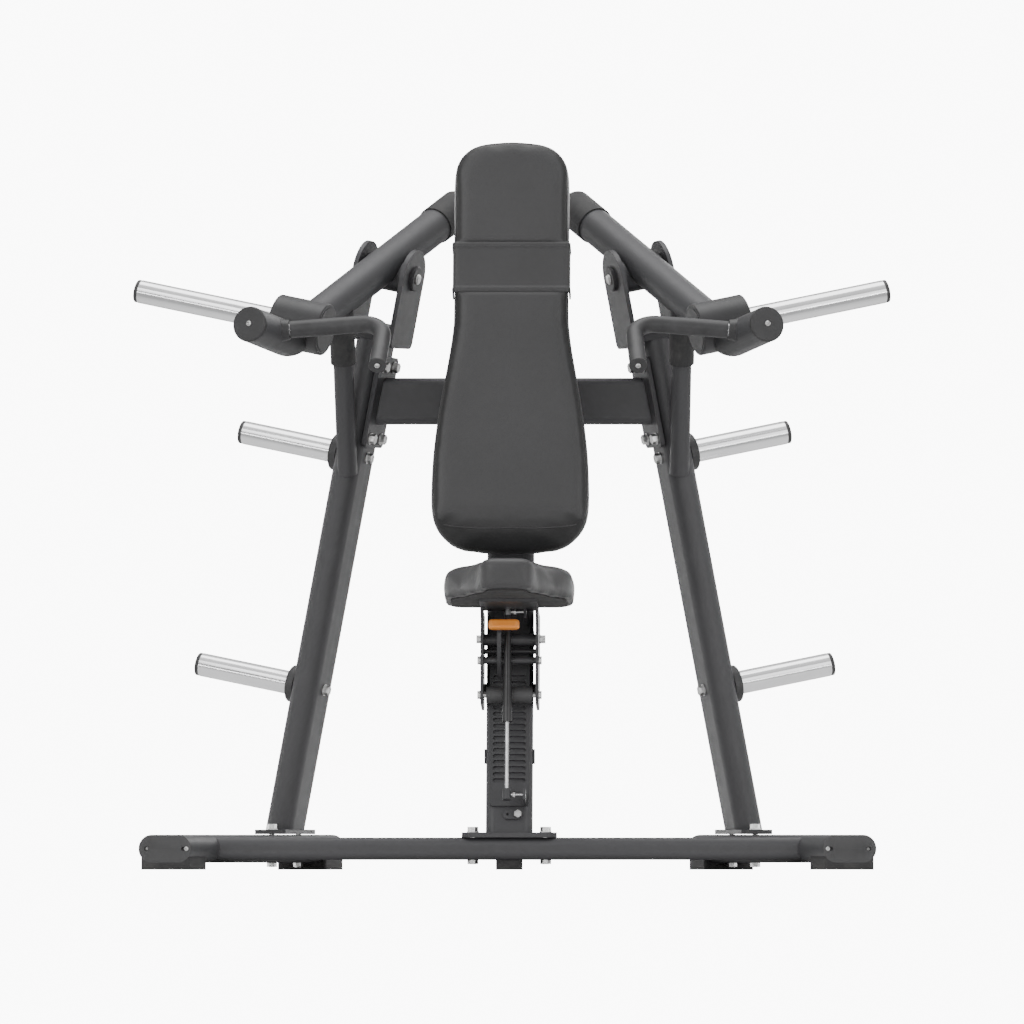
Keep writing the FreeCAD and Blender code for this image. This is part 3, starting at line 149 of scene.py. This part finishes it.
def powder_coat(name, dark, light, round_edge=0.0012):
    """Satin powder coat: fine orange peel, faint mottling, and sharp edges painted a little brighter, a painted
    edge highlight with a little rubbed wear.
    """
    g = Graph(name)
    mottle = g.mix(g.ramp(g.noise(9.0, 5.0), 0.0, 1.0, 0.35, 0.65), dark, light)
    # Painted edge highlight with a little rubbed wear: sharp edges are painted up to 1.9 times the light tone.
    edge_highlight_and_wear = tuple(c * 1.9 for c in light)
    colour = g.mix(g.edges(0.53, 0.66), mottle, edge_highlight_and_wear)
    peel = g.bump(g.noise(900.0, 2.0), 0.22, 0.0006, g.rounded(round_edge))
    return g.finish(colour, g.ramp(g.noise(40.0, 4.0), 0.40, 0.52), peel)


def chrome_plate():
    """Hard chrome with faint draw marks and finger haze."""
    g = Graph("hard_chrome")
    haze = g.noise(18.0, 6.0, 0.6)
    colour = g.mix(g.ramp(haze, 0.0, 1.0, 0.3, 0.7), (0.88, 0.88, 0.89), (0.95, 0.95, 0.96))
    marks = g.bump(g.noise(420.0, 2.0), 0.03, 0.0003, g.rounded(0.0008))
    return g.finish(colour, g.ramp(haze, 0.12, 0.18, 0.3, 0.7), marks, Metallic=1.0)


def zinc_steel(name="zinc_plate"):
    """Bright zinc-plated fastener steel, with turned marks and dulled edges."""
    g = Graph(name)
    stain = g.noise(160.0, 5.0)
    colour = g.mix(g.ramp(stain, 0.0, 1.0, 0.35, 0.65), (0.55, 0.55, 0.54), (0.80, 0.80, 0.80))
    return g.finish(colour, g.ramp(stain, 0.24, 0.42), g.bump(g.noise(1800.0, 2.0), 0.1, 0.0002,
                    g.rounded(0.0006)), Metallic=1.0)


def moulded_plastic(name, dark, light, rough_low=0.42, rough_high=0.55, grain=1400.0):
    """Moulded plastic with a spark-eroded grain."""
    g = Graph(name)
    colour = g.mix(g.ramp(g.noise(14.0, 4.0), 0.0, 1.0, 0.3, 0.7), dark, light)
    # Painted edge highlight with a little rubbed wear: sharp edges are painted up to 1.5 times the light tone.
    colour = g.mix(g.edges(0.53, 0.64), colour, tuple(min(1.0, c * 1.5) for c in light))
    fine = g.bump(g.noise(grain, 2.0, 0.6), 0.25, 0.0004, g.rounded(0.0010))
    return g.finish(colour, g.ramp(g.noise(60.0, 3.0), rough_low, rough_high), fine)


def foot_rubber():
    g = Graph("foot_rubber")
    dust = g.ramp(g.noise(26.0, 7.0, 0.65), 0.0, 1.0, 0.42, 0.74)
    colour = g.mix(dust, (0.022, 0.022, 0.023), (0.060, 0.059, 0.058))
    return g.finish(colour, g.ramp(dust, 0.62, 0.78), g.bump(g.noise(700.0, 4.0), 0.4, 0.0006, g.rounded(0.0015)))


def grip_rubber():
    """Closed-cell grip rubber: tiny pores and hand-polished patches."""
    g = Graph("grip_rubber")
    polish = g.noise(22.0, 4.0)
    colour = g.mix(g.ramp(polish, 0.0, 1.0, 0.35, 0.65), (0.026, 0.026, 0.027), (0.046, 0.046, 0.048))
    pores = g.bump(g.cells(1500.0), 0.18, 0.0004)
    soft = g.bump(g.noise(260.0, 3.0), 0.15, 0.0008, pores)
    return g.finish(colour, g.ramp(polish, 0.40, 0.56), soft)


def upholstery(name, dark, light, grain=620.0, face=None, painted_side_shade=1.0):
    """Coated upholstery cloth: pebbled leather grain, tiny creases and a soft satin top coat.

    With a face direction, the sides that look away from it are painted darker: painted shade on the cushion's
    sides."""
    g = Graph(name)
    tone = g.noise(5.0, 5.0, 0.55)
    colour = g.mix(g.ramp(tone, 0.0, 1.0, 0.3, 0.7), dark, light)
    if face is not None:
        # Painted shade: where the normal turns away from face, the colour falls to the dark tone times the side
        # factor.
        look = g.add("ShaderNodeVectorMath", operation="DOT_PRODUCT")
        g.join(g.add("ShaderNodeNewGeometry").outputs["Normal"], look.inputs[0])
        look.inputs[1].default_value = face
        panel = g.ramp(look.outputs["Value"], 0.0, 1.0, 0.90, 0.96)
        colour = g.mix(panel, tuple(c * painted_side_shade for c in dark), colour)
    pebble = g.cells(grain, "F1")
    # Painted shade: the grain's valleys between the pebbles are painted darker, down to 0.72 of the dark tone.
    valleys = g.ramp(g.cells(grain), 0.0, 1.0, 0.0, 0.12)
    shade = g.mix(valleys, tuple(c * 0.72 for c in dark), colour)
    grain_bump = g.bump(pebble, 0.20, 0.0005)
    crease = g.bump(g.noise(90.0, 6.0, 0.62), 0.16, 0.0012, grain_bump)
    return g.finish(shade, g.ramp(g.noise(34.0, 4.0), 0.44, 0.56), crease, Coat_Weight=0.06,
                    Coat_Roughness=0.35, Sheen_Weight=0.04)


def bronze():
    g = Graph("sintered_bronze")
    speck = g.noise(900.0, 4.0, 0.7)
    colour = g.mix(g.ramp(speck, 0.0, 1.0, 0.35, 0.65), (0.28, 0.17, 0.07), (0.56, 0.38, 0.17))
    return g.finish(colour, g.ramp(speck, 0.3, 0.5), g.bump(speck, 0.2, 0.0003), Metallic=1.0)


def ply_board():
    """Back board: plywood under thin black cloth."""
    g = Graph("covered_ply")
    weave = g.add("ShaderNodeTexWave", wave_type="BANDS", bands_direction="X")
    weave.inputs["Scale"].default_value = 320.0
    g.join(g.place, weave.inputs["Vector"])
    weft = g.add("ShaderNodeTexWave", wave_type="BANDS", bands_direction="Z")
    weft.inputs["Scale"].default_value = 320.0
    g.join(g.place, weft.inputs["Vector"])
    colour = g.mix(g.ramp(g.noise(30.0, 6.0), 0.0, 1.0, 0.35, 0.65), (0.020, 0.020, 0.021), (0.042, 0.041, 0.040))
    cloth = g.bump(weft.outputs["Fac"], 0.25, 0.0004, g.bump(weave.outputs["Fac"], 0.25, 0.0004))
    return g.finish(colour, g.ramp(g.noise(50.0, 3.0), 0.72, 0.86), cloth)


def ground_steel():
    """Ground rod and axle steel, with a thin oil film."""
    g = Graph("ground_steel")
    film = g.noise(30.0, 5.0)
    colour = g.mix(g.ramp(film, 0.0, 1.0, 0.35, 0.65), (0.60, 0.60, 0.61), (0.82, 0.82, 0.83))
    fine = g.bump(g.noise(1200.0, 2.0, stretch=(1.0, 1.0, 6.0)), 0.06, 0.0002)
    return g.finish(colour, g.ramp(film, 0.16, 0.28), fine, Metallic=1.0)


def thread():
    g = Graph("stitch_thread")
    twist = g.add("ShaderNodeTexWave", wave_type="BANDS", bands_direction="DIAGONAL")
    twist.inputs["Scale"].default_value = 900.0
    g.join(g.place, twist.inputs["Vector"])
    # Painted highlight: the twist's raised bands, the same ones the bump lifts, are painted lighter.
    colour = g.mix(twist.outputs["Fac"], (0.030, 0.030, 0.032), (0.090, 0.090, 0.094))
    return g.finish(colour, g.ramp(g.noise(300.0), 0.5, 0.7), g.bump(twist.outputs["Fac"], 0.4, 0.0003))


MATERIALS = {
    "frame_paint": powder_coat("frame_powder_coat", (0.020, 0.020, 0.021), (0.029, 0.029, 0.031)),
    "arm_paint": powder_coat("arm_powder_coat", (0.023, 0.023, 0.024), (0.032, 0.032, 0.034)),
    "chrome": chrome_plate(),
    "zinc_bolts": zinc_steel(),
    "steel_parts": ground_steel(),
    "bronze_bush": bronze(),
    "black_plastic": moulded_plastic("black_caps", (0.024, 0.024, 0.025), (0.036, 0.036, 0.037)),
    "orange_plastic": moulded_plastic("orange_lever", (0.86, 0.27, 0.035), (0.95, 0.34, 0.06), 0.30, 0.40, 900.0),
    "rubber": foot_rubber(),
    "grip_rubber": grip_rubber(),
    "vinyl": upholstery("pad_vinyl", (0.036, 0.036, 0.037), (0.046, 0.046, 0.048)),
    "plywood": ply_board(),
    "gas_black": moulded_plastic("gas_spring_paint", (0.018, 0.018, 0.019), (0.030, 0.030, 0.031), 0.24, 0.34),
}
BAND_VINYL = upholstery("band_vinyl", (0.033, 0.033, 0.034), (0.044, 0.044, 0.046), 800.0)
THREAD = thread()
# Back cushion vinyl with painted shade: the sides facing away from POST_OUT are painted at 0.18 of the dark tone.
BACK_VINYL_PAINTED_SHADE = upholstery("back_vinyl_painted_shade", (0.036, 0.036, 0.037), (0.045, 0.045, 0.047), 620.0, tuple(POST_OUT), 0.18)


def wear(obj, material):
    obj.data.materials.clear()
    obj.data.materials.append(material)


def dress_frame():
    for part in frame["record"]["subparts"]:
        wear(NODES[part["node"]], MATERIALS[part["material_slot"]])


# ---- building pieces ------------------------------------------------------------------------------
def piece(name, mesh, body, slot, material=None):
    obj = bpy.data.objects.new(name, mesh)
    bpy.context.scene.collection.objects.link(obj)
    wear(obj, material or MATERIALS[slot])
    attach(obj, body)
    return obj


def smooth(mesh):
    for polygon in mesh.polygons:
        polygon.use_smooth = True


def basis(at, z_axis, x_hint=ACROSS):
    z = z_axis.normalized()
    x = (x_hint - z * x_hint.dot(z))
    if x.length < 0.05:
        x = Vector((0, 0, 1)) - z * z.z
    x.normalize()
    y = z.cross(x)
    return Matrix(((x.x, y.x, z.x, at.x), (x.y, y.y, z.y, at.y), (x.z, y.z, z.z, at.z), (0, 0, 0, 1)))


def lathe(bm, profile, matrix, segments=40):
    """Turn a profile of (radius, height) points about Z; a radius of 0 closes the end."""
    rings = []
    for radius, height in profile:
        if radius < 1e-7:
            rings.append([bm.verts.new(matrix @ Vector((0, 0, height)))])
            continue
        rings.append([bm.verts.new(matrix @ Vector((radius * math.cos(2 * math.pi * i / segments),
                                                    radius * math.sin(2 * math.pi * i / segments), height)))
                      for i in range(segments)])
    for low, high in zip(rings, rings[1:]):
        for i in range(segments):
            j = (i + 1) % segments
            if len(low) == 1:
                bm.faces.new((low[0], high[i], high[j]))
            elif len(high) == 1:
                bm.faces.new((low[i], high[0], low[j]))
            else:
                bm.faces.new((low[i], high[i], high[j], low[j]))


def finished_mesh(name, bm):
    bmesh.ops.recalc_face_normals(bm, faces=bm.faces)
    mesh = bpy.data.meshes.new(name)
    bm.to_mesh(mesh)
    bm.free()
    smooth(mesh)
    return mesh


def pan_screw(bm, at, outward, radius, height):
    """A button-head screw with a hexagon socket."""
    matrix = basis(at, outward)
    dome = [(radius * math.cos(math.radians(a)), height * math.sin(math.radians(a))) for a in range(0, 76, 15)]
    lathe(bm, [(radius, -0.0005)] + dome + [(radius * 0.42, height * 0.99)], matrix, 36)
    socket = radius * 0.42
    lathe(bm, [(socket, height * 0.99), (socket * 0.94, height * 0.35), (0, height * 0.30)], matrix, 6)


# ---- reading places off the CAD nodes -------------------------------------------------------------
def solids_of(node):
    """The separate solids of a CAD node, each as a list of its vertices' places."""
    bm = bmesh.new()
    bm.from_mesh(NODES[node].data)
    bmesh.ops.remove_doubles(bm, verts=bm.verts, dist=1e-6)
    left = set(bm.verts)
    groups = []
    while left:
        stack = [left.pop()]
        group = []
        while stack:
            vert = stack.pop()
            group.append(vert.co.copy())
            for edge in vert.link_edges:
                other = edge.other_vert(vert)
                if other in left:
                    left.remove(other)
                    stack.append(other)
        groups.append(group)
    bm.free()
    return groups


def middle(points):
    return sum(points, Vector()) / len(points)


def span(points, axis):
    values = [p.dot(axis) for p in points]
    return min(values), max(values)


def box_middle(points):
    low = Vector(tuple(min(p[i] for p in points) for i in range(3)))
    high = Vector(tuple(max(p[i] for p in points) for i in range(3)))
    return (low + high) / 2.0


# ---- upholstery -----------------------------------------------------------------------------------
PRESSURE = 4.0
CLOTH_FRAMES = 14
SETTLE = 14


def remeshed(source, voxel, name):
    obj = bpy.data.objects.new(name, source.copy())
    bpy.context.scene.collection.objects.link(obj)
    remesh = obj.modifiers.new("remesh", "REMESH")
    remesh.mode = "VOXEL"
    remesh.voxel_size = voxel
    bake(obj)
    return obj


def bake(obj):
    """Put what the modifiers make into the mesh itself."""
    graph = bpy.context.evaluated_depsgraph_get()
    mesh = bpy.data.meshes.new_from_object(obj.evaluated_get(graph))
    old = obj.data
    obj.modifiers.clear()
    obj.data = mesh
    bpy.data.meshes.remove(old)


def inflate(obj, held, cap):
    """Blow the cover up a little from inside. Vertices for which held(place) is true stay put."""
    rest = [v.co.copy() for v in obj.data.vertices]
    group = obj.vertex_groups.new(name="held")
    group.add([v.index for v in obj.data.vertices if held(v.co)], 1.0, "REPLACE")
    cloth = obj.modifiers.new("cloth", "CLOTH")
    settings = cloth.settings
    settings.quality = 6
    settings.mass = 0.4
    settings.tension_stiffness = 30.0
    settings.compression_stiffness = 30.0
    settings.shear_stiffness = 12.0
    settings.bending_stiffness = 12.0
    settings.use_pressure = True
    settings.uniform_pressure_force = PRESSURE
    settings.effector_weights.gravity = 0.0
    settings.vertex_group_mass = "held"
    cloth.collision_settings.use_collision = False
    cloth.point_cache.frame_start = 1
    cloth.point_cache.frame_end = CLOTH_FRAMES
    for step in range(1, CLOTH_FRAMES + 1):
        bpy.context.scene.frame_set(step)
    bake(obj)
    obj.vertex_groups.clear()
    for vertex, start in zip(obj.data.vertices, rest):
        move = vertex.co - start
        if move.length > cap:
            vertex.co = start + move.normalized() * cap
    bpy.context.scene.frame_set(1)


def relax(obj, times, factor=0.5):
    bm = bmesh.new()
    bm.from_mesh(obj.data)
    for _ in range(times):
        bmesh.ops.smooth_vert(bm, verts=bm.verts, factor=factor, use_axis_x=True, use_axis_y=True, use_axis_z=True)
    bm.to_mesh(obj.data)
    bm.free()


def shrink(obj, amount, held):
    """Pull the free surface in along its normals."""
    obj.data.update()
    normals = [v.normal.copy() for v in obj.data.vertices]
    for vertex, normal in zip(obj.data.vertices, normals):
        if not held(vertex.co):
            vertex.co -= normal * amount


def subdivided(obj):
    modifier = obj.modifiers.new("subdivision", "SUBSURF")
    modifier.levels = 1
    modifier.render_levels = 1
    bake(obj)


def strapped(obj, rest, bottom, top):
    """Under the cover band the cushion is pulled in to just inside its uncovered size."""
    for vertex, (start, normal) in zip(obj.data.vertices, rest):
        up = start.dot(POST_UP)
        reach = min(up - bottom, top - up)
        pull = min(1.0, max(0.0, reach / 0.012 + 0.5))
        vertex.co = vertex.co.lerp(start - normal * 0.0015, pull)


def upholster(node, name, body, up, voxel, cap, material):
    """A stuffed cover in place of a plain CAD pad; up points from its board to its face."""
    source = NODES[node].data
    board = min(v.co.dot(up) for v in source.vertices)

    def held(place):
        return place.dot(up) < board + 0.006

    obj = remeshed(source, voxel, name)
    relax(obj, 3)
    obj.data.update()
    rest = [(v.co.copy(), v.normal.copy()) for v in obj.data.vertices]
    shrink(obj, cap * 0.2, held)
    inflate(obj, held, cap)
    relax(obj, SETTLE)
    if node == "back_pad":
        strapped(obj, rest, *span([v.co for v in NODES["back_band"].data.vertices], POST_UP))
    subdivided(obj)
    smooth(obj.data)
    wear(obj, material)
    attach(obj, body)
    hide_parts(node)
    return obj


# ---- fittings the solids are too plain to show ----------------------------------------------------
FOREARM_AXIS = (0.39, -0.906, 0.165)
GRIP_AXIS = (0.084, -0.814, -0.575)
CAP_SCREW_OFF = 0.043      # from the middle of a rail's cap to each of its screws


def cap_screws(side):
    """The screw in the middle of each cap at the ends of one arm's forearm and grip."""
    sign = SIDES[side]
    axes = [Vector((sign * x, y, z)).normalized() for x, y, z in (FOREARM_AXIS, GRIP_AXIS)]
    mesh = NODES[side + "_arm_caps"].data
    tree = BVHTree.FromPolygons([v.co for v in mesh.vertices], [p.vertices for p in mesh.polygons])
    bm = bmesh.new()
    for group in solids_of(side + "_arm_caps"):
        centre = box_middle(group)
        for axis in axes:
            hit, normal, index, distance = tree.ray_cast(centre + axis * 0.05, -axis, 0.06)
            if hit is not None and normal.dot(axis) > 0.995:
                pan_screw(bm, hit, normal, 0.0062, 0.0034)
    piece(side + "_cap_screws", finished_mesh(side + "_cap_screws", bm), side + "_arm", "zinc_bolts")


def rail_cap_screws():
    """Two recessed screws hold each rail's end cap; they are seated on the cap's own slanted face."""
    mesh = NODES["rail_end_caps"].data
    tree = BVHTree.FromPolygons([v.co for v in mesh.vertices], [p.vertices for p in mesh.polygons])
    bm = bmesh.new()
    for group in solids_of("rail_end_caps"):
        centre = box_middle(group)
        outward = Vector((0, -1, 0)) if centre.y < 0 else Vector((0, 1, 0))
        for step in (-CAP_SCREW_OFF, CAP_SCREW_OFF):
            hit, normal, index, distance = tree.ray_cast(centre + outward * 0.3 + ACROSS * step, -outward, 0.4)
            if hit is not None and normal.dot(outward) > 0.5:
                pan_screw(bm, hit, normal, 0.0048, 0.0022)
    piece("rail_cap_screws", finished_mesh("rail_cap_screws", bm), "frame", "zinc_bolts")


# ---- cover band, welts and stitches ---------------------------------------------------------------
STRAP_THICK = 0.004
STRAP_CORNER = 0.008
HEM = 0.013
STITCH = 0.0046
STITCH_PITCH = 0.0064
CORD = 0.0016              # radius of the cord in a welt


def strap_path(half, low, high):
    """Places and outward directions along the strip, from one edge of the board round to the other."""
    side = [(half, low + (high - STRAP_CORNER - low) * i / 10.0, 1.0, 0.0) for i in range(11)]
    turn = []
    for step in range(1, 7):
        angle = math.radians(15.0 * step)
        turn.append((half - STRAP_CORNER * (1.0 - math.cos(angle)), high - STRAP_CORNER * (1.0 - math.sin(angle)),
                     math.cos(angle), math.sin(angle)))
    run = half - STRAP_CORNER
    front = [(run * (1.0 - i / 16.0), high, 0.0, 1.0) for i in range(1, 17)]
    right = side + turn + front
    left = [(-x, out, -nx, ny) for x, out, nx, ny in reversed(right[:-1])]
    return right + left


def cover_band():
    """One flat strip of vinyl round the head of the back cushion, hemmed above and below."""
    points = [v.co for v in NODES["back_band"].data.vertices]
    half = span(points, ACROSS)[1] - STRAP_THICK
    low, high = span(points, POST_OUT)
    bottom, top = span(points, POST_UP)
    t = STRAP_THICK
    edge = [(0.0008, 0.0), (0.0, 0.5 * t), (0.0012, 0.9 * t), (HEM * 0.5, t), (HEM - 0.0012, 0.92 * t),
            (HEM, 0.68 * t), (HEM + 0.004, 0.62 * t)]
    profile = [(bottom + up, off) for up, off in edge]
    profile += [(top - up, off) for up, off in reversed(edge)]
    path = strap_path(half, low, high - t)
    bm = bmesh.new()
    rings = []
    for x, out, nx, ny in path:
        rings.append([bm.verts.new(ACROSS * (x + nx * off) + POST_OUT * (out + ny * off) + POST_UP * up)
                      for up, off in profile])
    for first, second in zip(rings, rings[1:]):
        for k in range(len(profile)):
            n = (k + 1) % len(profile)
            bm.faces.new((first[k], first[n], second[n], second[k]))
    bm.faces.new(rings[0])
    bm.faces.new(list(reversed(rings[-1])))
    band = piece("back_cover_band", finished_mesh("back_cover_band", bm), "frame", "vinyl", BAND_VINYL)
    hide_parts("back_band")
    threads = bmesh.new()
    for up in (bottom + HEM * 0.72, top - HEM * 0.72):
        row = [ACROSS * (x + nx * t * 0.97) + POST_OUT * (out + ny * t * 0.97) + POST_UP * up
               for x, out, nx, ny in path]
        stitches(threads, row)
    piece("band_stitching", finished_mesh("band_stitching", threads), "frame", "vinyl", THREAD)


def along(line, pitch):
    """Pairs of place and direction every pitch metres along a line of places."""
    left = pitch / 2.0
    for start, end in zip(line, line[1:]):
        length = (end - start).length
        if length < 1e-9:
            continue
        heading = (end - start) / length
        while left < length:
            yield start + heading * left, heading
            left += pitch
        left -= length


def stitches(bm, line):
    for at, heading in along(line, STITCH_PITCH):
        profile = [(0.0, -STITCH / 2.0), (0.00038, -STITCH * 0.36), (0.00052, 0.0), (0.00038, STITCH * 0.36),
                   (0.0, STITCH / 2.0)]
        lathe(bm, profile, basis(at, heading), 6)


def rim(obj, up, height, count):
    """Places round a cushion's side at one height above its board, with their outward directions."""
    board = min(v.co.dot(up) for v in obj.data.vertices)
    tree = BVHTree.FromPolygons([v.co for v in obj.data.vertices], [p.vertices for p in obj.data.polygons])
    low, high = Vector(obj.bound_box[0]), Vector(obj.bound_box[6])
    centre = (low + high) / 2.0
    centre += up * (board + height - centre.dot(up))
    forward = up.cross(ACROSS)
    found = []
    for i in range(count):
        angle = 2.0 * math.pi * i / count
        ray = ACROSS * math.cos(angle) + forward * math.sin(angle)
        hit, normal, index, distance = tree.ray_cast(centre + ray * 0.8, -ray)
        if hit is not None:
            found.append((hit, normal))
    return found


def welt(name, obj, up, height, body, material):
    """The corded seam where a cushion's face panel meets its side panel."""
    places = rim(obj, up, height, 240)
    for _ in range(3):
        places = [((places[i - 1][0] + places[i][0] * 2.0 + places[(i + 1) % len(places)][0]) / 4.0, places[i][1])
                  for i in range(len(places))]
    bm = bmesh.new()
    rings = []
    for i, (at, normal) in enumerate(places):
        heading = (places[(i + 1) % len(places)][0] - places[i - 1][0]).normalized()
        outward = normal.cross(heading).cross(heading) * -1.0
        outward.normalize()
        other = heading.cross(outward)
        rings.append([bm.verts.new(at + (outward * math.cos(a) + other * math.sin(a)) * CORD)
                      for a in (2.0 * math.pi * k / 10.0 for k in range(10))])
    for i, ring in enumerate(rings):
        after = rings[(i + 1) % len(rings)]
        for k in range(10):
            n = (k + 1) % 10
            bm.faces.new((ring[k], ring[n], after[n], after[k]))
    piece(name, finished_mesh(name, bm), body, "vinyl", material)


# ---- picture --------------------------------------------------------------------------------------
PICTURE_WIDTH = 2.1927195  # metres across the picture
DISTANCE = 6.0
AZIMUTH = math.radians(1.3)
TARGET = Vector((0.0102, -0.383, 0.766))

HORIZON = 10.0
FROM_BELOW = 0.05
FROM_SIDE = 0.03
OVERHEAD = 0.11


def camera():
    data = bpy.data.cameras.new("camera")
    data.type = "ORTHO"
    data.ortho_scale = PICTURE_WIDTH
    data.clip_start = 0.1
    data.clip_end = 30.0
    obj = bpy.data.objects.new("camera", data)
    bpy.context.scene.collection.objects.link(obj)
    back = Vector((math.sin(AZIMUTH), -math.cos(AZIMUTH), 0))
    obj.location = TARGET + back * DISTANCE
    obj.rotation_euler = back.to_track_quat("Z", "Y").to_euler()
    bpy.context.scene.camera = obj


def softbox(name, at, aim, wide, high, power):
    data = bpy.data.lights.new(name, "AREA")
    data.shape = "RECTANGLE"
    data.size = wide
    data.size_y = high
    data.energy = power
    obj = bpy.data.objects.new(name, data)
    bpy.context.scene.collection.objects.link(obj)
    obj.location = at
    obj.rotation_euler = (Vector(at) - Vector(aim)).to_track_quat("Z", "Y").to_euler()


def sky():
    """A soft studio all round: bright overhead, a white band at the horizon, dim below."""
    world = bpy.data.worlds.new("studio")
    world.use_nodes = True
    tree = world.node_tree
    place = tree.nodes.new("ShaderNodeTexCoord")
    parts = tree.nodes.new("ShaderNodeSeparateXYZ")
    ramp = tree.nodes.new("ShaderNodeValToRGB")
    lift = tree.nodes.new("ShaderNodeMapRange")
    lift.inputs["From Min"].default_value = -1.0
    lift.inputs["From Max"].default_value = 1.0
    background = tree.nodes["Background"]
    background.inputs["Strength"].default_value = HORIZON
    stops = ramp.color_ramp.elements
    stops[0].position = 0.0
    stops[1].position = 1.0
    levels = [(0.0, FROM_BELOW), (0.485, FROM_BELOW), (0.494, 1.0), (0.506, 1.0), (0.515, FROM_SIDE),
              (1.0, OVERHEAD)]
    for place_on_ramp, level in levels[1:-1]:
        stops.new(place_on_ramp)
    for stop, (place_on_ramp, level) in zip(stops, levels):
        stop.position = place_on_ramp
        stop.color = (level, level, level, 1.0)
    tree.links.new(place.outputs["Generated"], parts.inputs["Vector"])
    tree.links.new(parts.outputs["Z"], lift.inputs["Value"])
    tree.links.new(lift.outputs["Result"], ramp.inputs["Fac"])
    tree.links.new(ramp.outputs["Color"], background.inputs["Color"])
    bpy.context.scene.world = world


def studio():
    sky()
    softbox("key", (-2.6, -4.2, 3.4), (0, 0, 0.8), 2.6, 2.6, 60.0)
    softbox("fill", (3.2, -3.8, 2.2), (0, 0, 0.8), 2.4, 2.4, 30.0)
    softbox("top", (0.0, 0.4, 4.2), (0, 0, 0.6), 3.0, 2.4, 70.0)
    softbox("rim", (1.8, 3.6, 2.6), (0, 0, 0.9), 2.0, 2.0, 40.0)

    bm = bmesh.new()
    bmesh.ops.create_circle(bm, cap_ends=True, segments=96, radius=3.2)
    mesh = bpy.data.meshes.new("floor")
    bm.to_mesh(mesh)
    bm.free()
    floor = bpy.data.objects.new("floor", mesh)
    bpy.context.scene.collection.objects.link(floor)
    g = Graph("pale_floor")
    colour = g.mix(g.noise(2.0, 3.0), (0.76, 0.76, 0.76), (0.80, 0.80, 0.80))
    away = g.add("ShaderNodeVectorMath", operation="LENGTH")
    g.join(g.place, away.inputs[0])
    g.join(g.ramp(away.outputs["Value"], 1.0, 0.0, 1.4, 3.0), g.shader.inputs["Alpha"])
    wear(floor, g.finish(colour, g.ramp(g.noise(3.0), 0.6, 0.7)))


dress_frame()
back = upholster("back_pad", "back_cushion", "frame", POST_OUT, 0.005, 0.005, BACK_VINYL_PAINTED_SHADE)
cover_band()
seat = upholster("seat_pad", "seat_cushion", "seat_carriage", UPRIGHT, 0.005, 0.005, MATERIALS["vinyl"])
welt("back_welt", back, POST_OUT, 0.052, "frame", BAND_VINYL)
welt("seat_welt", seat, UPRIGHT, 0.010, "seat_carriage", BAND_VINYL)
rail_cap_screws()
for side in SIDES:
    cap_screws(side)
camera()
studio()
